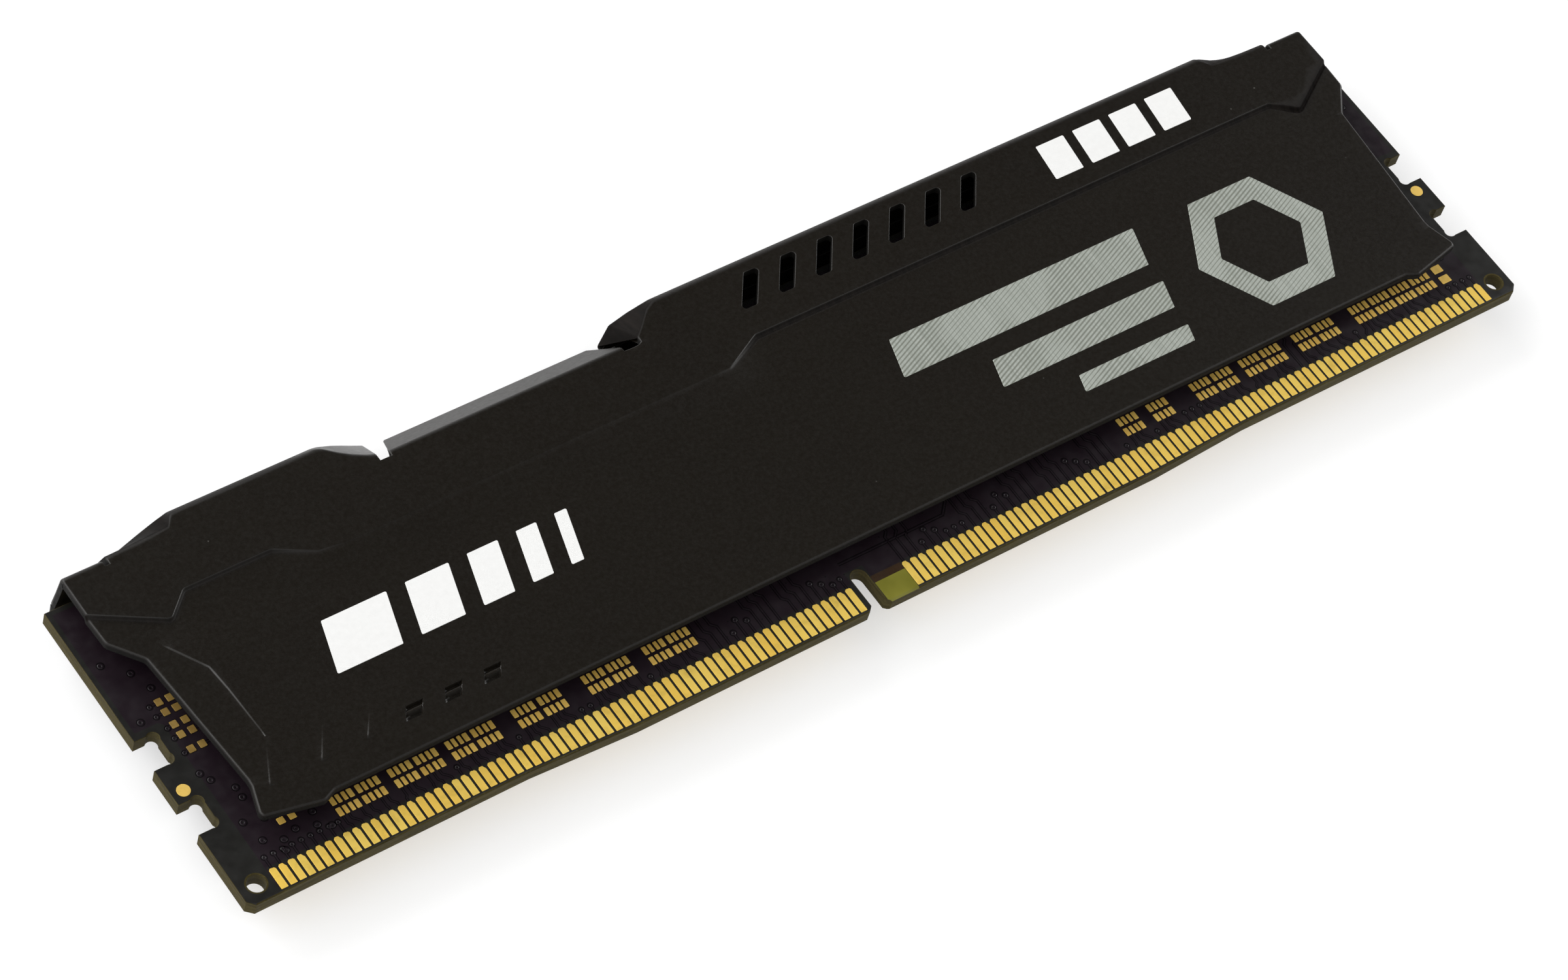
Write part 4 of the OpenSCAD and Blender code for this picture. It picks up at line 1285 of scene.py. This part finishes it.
class Lip:
    """A short fold along one stretch of the rear half's top edge."""

    def __init__(self, x0, x1, top):
        mid = [x0 + (x1 - x0) * k / 8 for k in range(1, 8)]
        self.xs = np.array(sorted(end_cols(x0, 1, 0.22) + [m for m in mid if x0 + 0.3 < m < x1 - 0.3] + end_cols(x1, -1, 0.22)))
        self.yj = top - BEND - 0.12
        self.x0, self.x1, self.top = x0, x1, top

    def mesh(self, base):
        o, n, q = [np.array([self.yj, RB])], [np.array([0.0, -1.0])], [np.array([self.yj, RB + T])]
        c = np.array([self.top - BEND, RB + BEND])
        for k in range(9):
            a = math.radians(-90 + 90 * k / 8)
            d = np.array([math.cos(a), math.sin(a)])
            o.append(c + d * BEND)
            q.append(c + d * (BEND - T))
            n.append(d)
        for fd, _ in FILLET[::-1]:
            o.append(np.array([self.top, LIP_Z - 0.22 * fd]))
            q.append(np.array([self.top - T, LIP_Z - 0.22 * fd]))
            n.append(np.array([1.0, 0.0]))
        o, n, q = np.array(o), np.array(n), np.array(q)
        out, inn, wear_and_highlight = [], [], []
        for x in self.xs:
            side = float(drop(np.array([min(x - self.x0, self.x1 - x)]), 0.22)[0])
            dz = np.full(len(o), side)
            dz[-5:] = np.maximum(dz[-5:], [0.22 * f[1] for f in FILLET[::-1]])
            oo = o - n * dz[:, None]
            out.append(np.column_stack([np.full(len(o), x), oo]))
            inn.append(np.column_stack([np.full(len(o), x), q]))
            # painted highlight: the rows round the bend are lightened; rounded ends and edge are lightened as rubbed
            # paint and painted highlight
            w = np.zeros(len(o))
            w[2:9] = 0.25
            wear_and_highlight.append(np.maximum(w, np.clip(dz / 0.22, 0, 1)))
        out, inn = np.array(out), np.array(inn)
        nc, nr, _ = out.shape
        v = np.vstack([out.reshape(-1, 3), inn.reshape(-1, 3)])
        f, idx = [], []
        a = lambda i, k: base + i * nr + k
        b = lambda i, k: base + nc * nr + i * nr + k
        for i in range(nc - 1):
            for k in range(nr - 1):
                f.append((a(i, k), a(i, k + 1), a(i + 1, k + 1), a(i + 1, k)))
                f.append((b(i, k), b(i + 1, k), b(i + 1, k + 1), b(i, k + 1)))
                idx += [0, 0]
            f.append((a(i, nr - 1), b(i, nr - 1), b(i + 1, nr - 1), a(i + 1, nr - 1)))
            idx.append(1)
        for k in range(nr - 1):
            f.append((a(0, k), b(0, k), b(0, k + 1), a(0, k + 1)))
            f.append((a(nc - 1, k), a(nc - 1, k + 1), b(nc - 1, k + 1), b(nc - 1, k)))
            idx += [1, 1]
        return v, f, idx, np.concatenate([np.array(wear_and_highlight).ravel(), np.zeros(nc * nr)])

    def seam(self):
        return [(float(x), self.yj) for x in self.xs]


LABEL = (34.5, 8.5, 65.0, 20.0)


def build_rear():
    e1, l1, l2, l3, e2 = Lip(*END_LIPS[0]), Lip(*LIPS[0]), Lip(*LIPS[1]), Lip(*LIPS[2]), Lip(*END_LIPS[1])
    left = [(SL, e1.yj)] + SIDE
    radii = [0] + [0.3, 0.7, 0.7, 0.4, 0.4, 0.5, 0.35, 0.5, 0.5]
    chain = rounded(left + [(mx(x), y) for x, y in left[::-1]], radii + radii[::-1], 6, closed=False)
    nick2 = [(mx(5.2), e2.yj), (mx(5.2), 31.6), (mx(6.0), 31.6), (mx(6.0), l3.yj)]
    gap2 = [(57.2, l3.yj), (57.2, 32.8), (54.2, 32.8), (54.2, l2.yj)]
    gap1 = [(36.2, l2.yj), (36.2, 32.8), (31.4, 32.8), (31.4, l1.yj)]
    nick1 = [(6.0, l1.yj), (6.0, 31.6), (5.2, 31.6), (5.2, e1.yj)]
    free = [chain, nick2, gap2, gap1, nick1]
    seams = [e2.seam()[::-1], l3.seam()[::-1], l2.seam()[::-1], l1.seam()[::-1], e1.seam()[::-1]]
    outline = []
    for a, b in zip(free, seams):
        outline += list(a)[:-1] + list(b)[:-1]
    pocket = rounded([(34, 8), (100, 8), (100, 29), (34, 29)], 1.3, 6)
    lines = [(outline, True)]
    for c in free:
        for fd, _ in FILLET[1:]:
            lines.append((offset(c, 0.22 * fd, closed=False), False))
    for g in (-0.06, 0.0, 0.06):
        lines.append((offset(pocket, g), True))
    v, f = cdt(lines, outline, [])
    d = np.full(len(v), 1e9)
    up = [[(x, 31.0), (x, 36.0)] for x in (SL, 5.2, 6.0, 31.4, 36.2, 54.2, 57.2, mx(6.0), mx(5.2), mx(SL))]
    for c in free + up:
        d = np.minimum(d, line_dist(v, c))
    s = line_dist(v, pocket, True) * np.where(inside(v, pocket), 1, -1)
    fall = drop(d, 0.22) + 0.15 * smooth((s + 0.06) / 0.12)
    # rounded edges lightened as rubbed paint and painted highlight, and a painted highlight round the label pocket's
    # rim
    wear_and_highlight = np.clip(drop(d, 0.22) / 0.22, 0, 1) + 0.35 * np.exp(-((s + 0.05) / 0.05) ** 2)
    n = len(v)
    verts = [np.vstack([np.column_stack([v, RB + fall]), np.column_stack([v, np.full(n, RB + T)])])]
    faces = [tuple(int(i) for i in t[::-1]) for t in f] + [tuple(int(i) + n for i in t) for t in f]
    idx = [0] * len(faces)
    eb = border(f)
    mid = np.array([(v[a] + v[b]) / 2 for a, b in eb])
    on_seam = np.min([line_dist(mid, s_) for s_ in seams], 0)
    on_free = np.min([line_dist(mid, s_) for s_ in free], 0)
    for (a, b), ds, df in zip(eb, on_seam, on_free):
        if ds < 2e-3 and df > 2e-3:
            continue
        faces.append((b, b + n, a + n, a))
        idx.append(1)
    wear_and_highlight_sets = [np.concatenate([wear_and_highlight, np.zeros(n)])]
    count = 2 * n
    for c in (e1, l1, l2, l3, e2):
        cv, cf, ci, cw = c.mesh(count)
        verts.append(cv)
        faces += cf
        idx += ci
        wear_and_highlight_sets.append(cw)
        count += len(cv)
    ob = make("rear_spreader_shell", np.vstack(verts), faces, [M_SPREAD, M_CUT], idx, angle=38,
              wear_and_highlight=np.clip(np.concatenate(wear_and_highlight_sets), 0, 1), merge=0.003)
    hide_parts("rear_heat_spreader")

    # the label in its pocket, with a plain border line and blank fields
    x, y, w, h = LABEL
    bag = Bag()
    o = rounded([(x, y), (x + w, y), (x + w, y + h), (x, y + h)], 1.0, 6)
    v, f = prism(o, RB + 0.15, RB + 0.05, 0.03)
    bag.add(v, f, 0)
    rules = [(x + 1.6, y + 1.6, w - 3.2, 0.25), (x + 1.6, y + h - 1.85, w - 3.2, 0.25), (x + 1.6, y + 1.85, 0.25, h - 3.7),
             (x + w - 1.85, y + 1.85, 0.25, h - 3.7), (x + 22.0, y + 1.85, 0.2, h - 3.7), (x + 22.2, y + 10.0, w - 24.05, 0.2)]
    for a, b, c, d_ in rules:
        v, f = prism([(a, b), (a + c, b), (a + c, b + d_), (a, b + d_)], RB + 0.06, RB + 0.042)
        bag.add(v, f, 1)
    bag.done("rear_label_sheet", [M_LABEL, M_INK], "label", ("rear_label",), angle=30)


# ------------------------------------------------------------- rear components

def block(bag, x, y, w, h, z0, z1, bevel, index=0, r=0.05):
    """A bevelled block standing on the board's rear face: z0 nearest the board."""
    v, f = prism(round_rect(x, y, w, h, r, 3), z0, z1, bevel)
    bag.add(v, f, index, rs.rand())


def build_packages():
    for side, n0 in ((-1, 1), (1, 5)):
        for k in range(4):
            x = L / 2 - 14.25 - 12.6 * k if side < 0 else L / 2 + 14.25 + 12.6 * k
            name = None
            for j in range(1, 9):
                lo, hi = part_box("dram_u%d" % j)
                if abs((lo.x + hi.x) / 2 * 1e3 - RX + L / 2 - x) < 0.5:
                    name = "dram_u%d" % j
            lo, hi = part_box(name)
            z0, z1 = hi.z * 1e3 - RZ, lo.z * 1e3 - RZ
            cy = (lo.y + hi.y) / 2 * 1e3 - RY
            bag = Bag()
            block(bag, x, cy, 7.5, 11.0, z0, z0 - 0.22, 0.0, 1, 0.12)
            block(bag, x, cy, 7.46, 10.96, z0 - 0.22, z1, 0.06, 0, 0.12)
            bag.add(*prism(arc_pts((x - 2.9, cy + 4.6), 0.32, 0, 345, 23)[::-1], z1 - 0.0, z1 + 0.012), 0)
            bag.done("package_" + name, [M_CHIP, M_SUB], "package", (name,), angle=30)
    lo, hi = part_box("spd_eeprom")
    x, y = (lo.x + hi.x) / 2 * 1e3 - RX + L / 2, (lo.y + hi.y) / 2 * 1e3 - RY
    bag = Bag()
    block(bag, x, y, 3.0, 2.0, -BT, -BT - 0.12, 0.0, 1, 0.05)
    block(bag, x, y, 2.96, 1.96, -BT - 0.12, -BT - 0.75, 0.05, 0, 0.06)
    for k in range(4):
        for s in (-1, 1):
            block(bag, x - 0.75 + 0.5 * k, y + s * 0.9, 0.25, 0.18, -BT, -BT - 0.20, 0.0, 2, 0.03)
    bag.done("spd_package", [M_CHIP, M_SUB, M_TIN], "package", ("spd_eeprom",), angle=30)


def passive(bag, x, y, w, h, t, along="x", ends=0.25):
    """A chip part: a body with a wrapped metal end on each side."""
    if along == "x":
        block(bag, x, y, w - 2 * ends + 0.04, h - 0.04, -BT, -BT - t + 0.03, 0.02, 0, 0.02)
        for s in (-1, 1):
            block(bag, x + s * (w - ends) / 2, y, ends, h, -BT, -BT - t, 0.04, 1, 0.05)
    else:
        block(bag, x, y, w - 0.04, h - 2 * ends + 0.04, -BT, -BT - t + 0.03, 0.02, 0, 0.02)
        for s in (-1, 1):
            block(bag, x, y + s * (h - ends) / 2, w, ends, -BT, -BT - t, 0.04, 1, 0.05)


def build_passives():
    dram_x = [L / 2 + s * (14.25 + 12.6 * k) for s in (-1, 1) for k in range(4)]
    bag = Bag()
    for x in AX:
        block(bag, x, AY, 2.0, 0.52, -BT, -BT - 0.42, 0.02, 0, 0.03)
        for k in (-1.5, -0.5, 0.5, 1.5):
            for s in (-1, 1):
                block(bag, x + k * 0.5, AY + s * 0.36, 0.34, 0.28, -BT, -BT - 0.45, 0.03, 1, 0.05)
    bag.done("resistor_array_parts", [M_GLAZE, M_TIN], "resistor", ("resistor_arrays",), angle=30)
    bag = Bag()
    for x in dram_x:
        for k in (-1, 0, 1):
            for y in (25.6, 9.6):
                passive(bag, x + 2.4 * k, y, 1.0, 0.5, 0.5)
    for k in range(-2, 3):
        passive(bag, L / 2 + 1.8 * k, 27.6, 1.0, 0.5, 0.5)
    bag.done("decoupling_parts", [M_CERAMIC, M_TIN], "capacitor", ("decoupling_capacitors",), angle=30)
    bag = Bag()
    for x in (L / 2 - 5.2, L / 2 + 5.2):
        for y in (12.5, 18.5):
            passive(bag, x, y, 2.0, 1.25, 1.0, "x", 0.4)
    bag.done("bulk_parts", [M_CERAMIC, M_TIN], "capacitor", ("bulk_capacitors",), angle=30)
    bag = Bag()
    for k in range(8):
        passive(bag, L / 2 - 5.6 + 1.6 * k, 8.6, 0.5, 1.0, 0.35, "y", 0.2)
    bag.done("termination_parts", [M_GLAZE, M_TIN], "resistor", ("termination_resistors",), angle=30)


def build_balls():
    bag = Bag()
    dram_x = [L / 2 + s * (14.25 + 12.6 * k) for s in (-1, 1) for k in range(4)]
    n = 8
    prof = [(0.15, -BT), (0.205, -BT - 0.07), (0.22, -BT - 0.15), (0.205, -BT - 0.23), (0.15, -BT - 0.30)]
    ang = [2 * math.pi * i / n for i in range(n)]
    one = np.array([(r * math.cos(a), r * math.sin(a), z) for r, z in prof for a in ang])
    faces = []
    for k in range(len(prof) - 1):
        for i in range(n):
            j = (i + 1) % n
            faces.append((k * n + i, (k + 1) * n + i, (k + 1) * n + j, k * n + j))
    faces.append(tuple(range(n)))
    faces.append(tuple(range(5 * n - 1, 4 * n - 1, -1)))
    for x in dram_x:
        for r in range(-6, 7):
            for c in (-4, -3, -2, 2, 3, 4):
                bag.add(one, faces, 0, rs.rand(), (x + c * 0.8, 17.6 + r * 0.8, 0))
    bag.done("solder_ball_grid", [M_TIN], "solder", ("dram_solder_balls",), angle=60)


def build_pads():
    for name in ("front_thermal_pad_left", "front_thermal_pad_right", "rear_thermal_pad_left", "rear_thermal_pad_right"):
        lo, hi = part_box(name)
        x0, x1 = lo.x * 1e3 - RX + L / 2, hi.x * 1e3 - RX + L / 2
        y0, y1 = lo.y * 1e3 - RY, hi.y * 1e3 - RY
        z0, z1 = lo.z * 1e3 - RZ, hi.z * 1e3 - RZ
        o = rounded([(x0, y0), (x1, y0), (x1, y1), (x0, y1)], 0.5, 5)
        ring = resample(o, 2.0, True)
        v, f = cdt([(ring, True)] + [(resample(offset(ring, d), 2.0, True), True) for d in (0.06, 0.18)], ring, [],
                   [(x, y) for x in np.arange(x0 + 1.2, x1 - 1, 1.9) for y in np.arange(y0 + 1.2, y1 - 1, 1.9)])
        d = line_dist(v, ring, True)
        n = len(v)
        fall = drop(d, 0.18)
        verts = np.vstack([np.column_stack([v, z1 - fall]), np.column_stack([v, z0 + fall])])
        faces = [tuple(t) for t in f] + [tuple(int(i) + n for i in t[::-1]) for t in f]
        for a, b in border(f):
            faces.append((a, a + n, b + n, b))
        ob = make(name.replace("thermal_pad", "pad_block"), verts, faces, [M_PAD], angle=50)
        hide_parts(name)


M_SUB = moulding_material("package_substrate", (0.012, 0.035, 0.018), (0.022, 0.055, 0.030), (0.35, 0.5))
M_INK = ink_material("label_ink", (0.04, 0.04, 0.04), (0.06, 0.06, 0.06), (0.5, 0.6), 0.3)
build_rear()
build_packages()
build_passives()
build_balls()
build_pads()

# ---------------------------------------------------------------- the stage

def build_stage():
    import bmesh
    me = bpy.data.meshes.new("floor")
    bm = bmesh.new()
    bmesh.ops.create_grid(bm, x_segments=2, y_segments=2, size=3.0)
    bm.to_mesh(me)
    bm.free()
    m = Mat("floor_matt")
    m.set(Specular_IOR_Level=0.2, Emission_Color=(1, 1, 1, 1), Emission_Strength=0.5)
    m.colour(m.mix(m.noise(60, 2), (0.57, 0.57, 0.57), (0.59, 0.59, 0.59)))
    m.rough(m.remap(m.noise(30, 2), 0.3, 0.7, 0.6, 0.7))
    me.materials.append(m.m)
    ob = bpy.data.objects.new("floor", me)
    bpy.context.scene.collection.objects.link(ob)
    ob.location.z = -0.00003


def area(name, direction, distance, size, power, colour=(1, 1, 1)):
    light = bpy.data.lights.new(name, "AREA")
    light.shape = "RECTANGLE"
    light.size, light.size_y = size
    light.energy = power
    light.color = colour
    ob = bpy.data.objects.new(name, light)
    d = Vector(direction).normalized()
    ob.location = d * distance
    ob.rotation_euler = d.to_track_quat("Z", "Y").to_euler()
    bpy.context.scene.collection.objects.link(ob)


build_stage()
scene = bpy.context.scene
world = bpy.data.worlds.new("studio")
world.use_nodes = True
wt = world.node_tree
background = wt.nodes["Background"]
where = wt.nodes.new("ShaderNodeTexCoord").outputs["Generated"]
dot = wt.nodes.new("ShaderNodeVectorMath")
dot.operation = "DOT_PRODUCT"
dot.inputs[1].default_value = Vector((0.47, 0.39, 0.79)).normalized()
wt.links.new(where, dot.inputs[0])
ramp = wt.nodes.new("ShaderNodeValToRGB")
ramp.color_ramp.interpolation = "EASE"
ramp.color_ramp.elements[0].position = 0.51
ramp.color_ramp.elements[0].color = (0.92, 0.92, 0.92, 1)
ramp.color_ramp.elements[1].position = 0.86
ramp.color_ramp.elements[1].color = (0.054, 0.054, 0.056, 1)
wt.links.new(dot.outputs["Value"], ramp.inputs[0])
side = wt.nodes.new("ShaderNodeVectorMath")
side.operation = "DOT_PRODUCT"
side.inputs[1].default_value = Vector((0.25, 0.93, 0.25)).normalized()
wt.links.new(where, side.inputs[0])
shade = wt.nodes.new("ShaderNodeMapRange")
shade.inputs["From Min"].default_value = -0.5
shade.inputs["From Max"].default_value = 0.4
shade.inputs["To Min"].default_value = 0.5
shade.inputs["To Max"].default_value = 1.0
wt.links.new(side.outputs["Value"], shade.inputs["Value"])
wt.links.new(shade.outputs[0], background.inputs[1])
wt.links.new(ramp.outputs[0], background.inputs[0])
scene.world = world
area("back_softbox", (-0.24, 0.90, 0.55), 1.0, (0.8, 0.6), 6.0)
area("right_softbox", (0.92, -0.10, 0.45), 1.0, (0.7, 0.5), 4.4)
area("left_softbox", (-0.80, 0.30, 0.60), 1.0, (0.7, 0.6), 3.6)
area("front_left_softbox", (-0.62, -0.55, 0.42), 0.9, (0.5, 0.35), 1.1)

cam = bpy.data.cameras.new("camera")
cam.lens = 116.81
cam.sensor_width = 36.0
cam.sensor_fit = "HORIZONTAL"
cam.clip_start = 0.01
cam.clip_end = 20
cam_ob = bpy.data.objects.new("camera", cam)
right_v = Vector((0.79748, -0.57002, 0.19774))
up_v = Vector((0.3749, 0.7250, 0.5778))
back_v = Vector((-0.47273, -0.38667, 0.79184))
rot = Matrix((right_v, up_v, back_v)).transposed()
cam_ob.matrix_world = Matrix.Translation((-0.206416, -0.167397, 0.339826)) @ rot.to_4x4()
scene.collection.objects.link(cam_ob)
scene.camera = cam_ob
scene.view_settings.view_transform = "Standard"
scene.view_settings.look = "None"
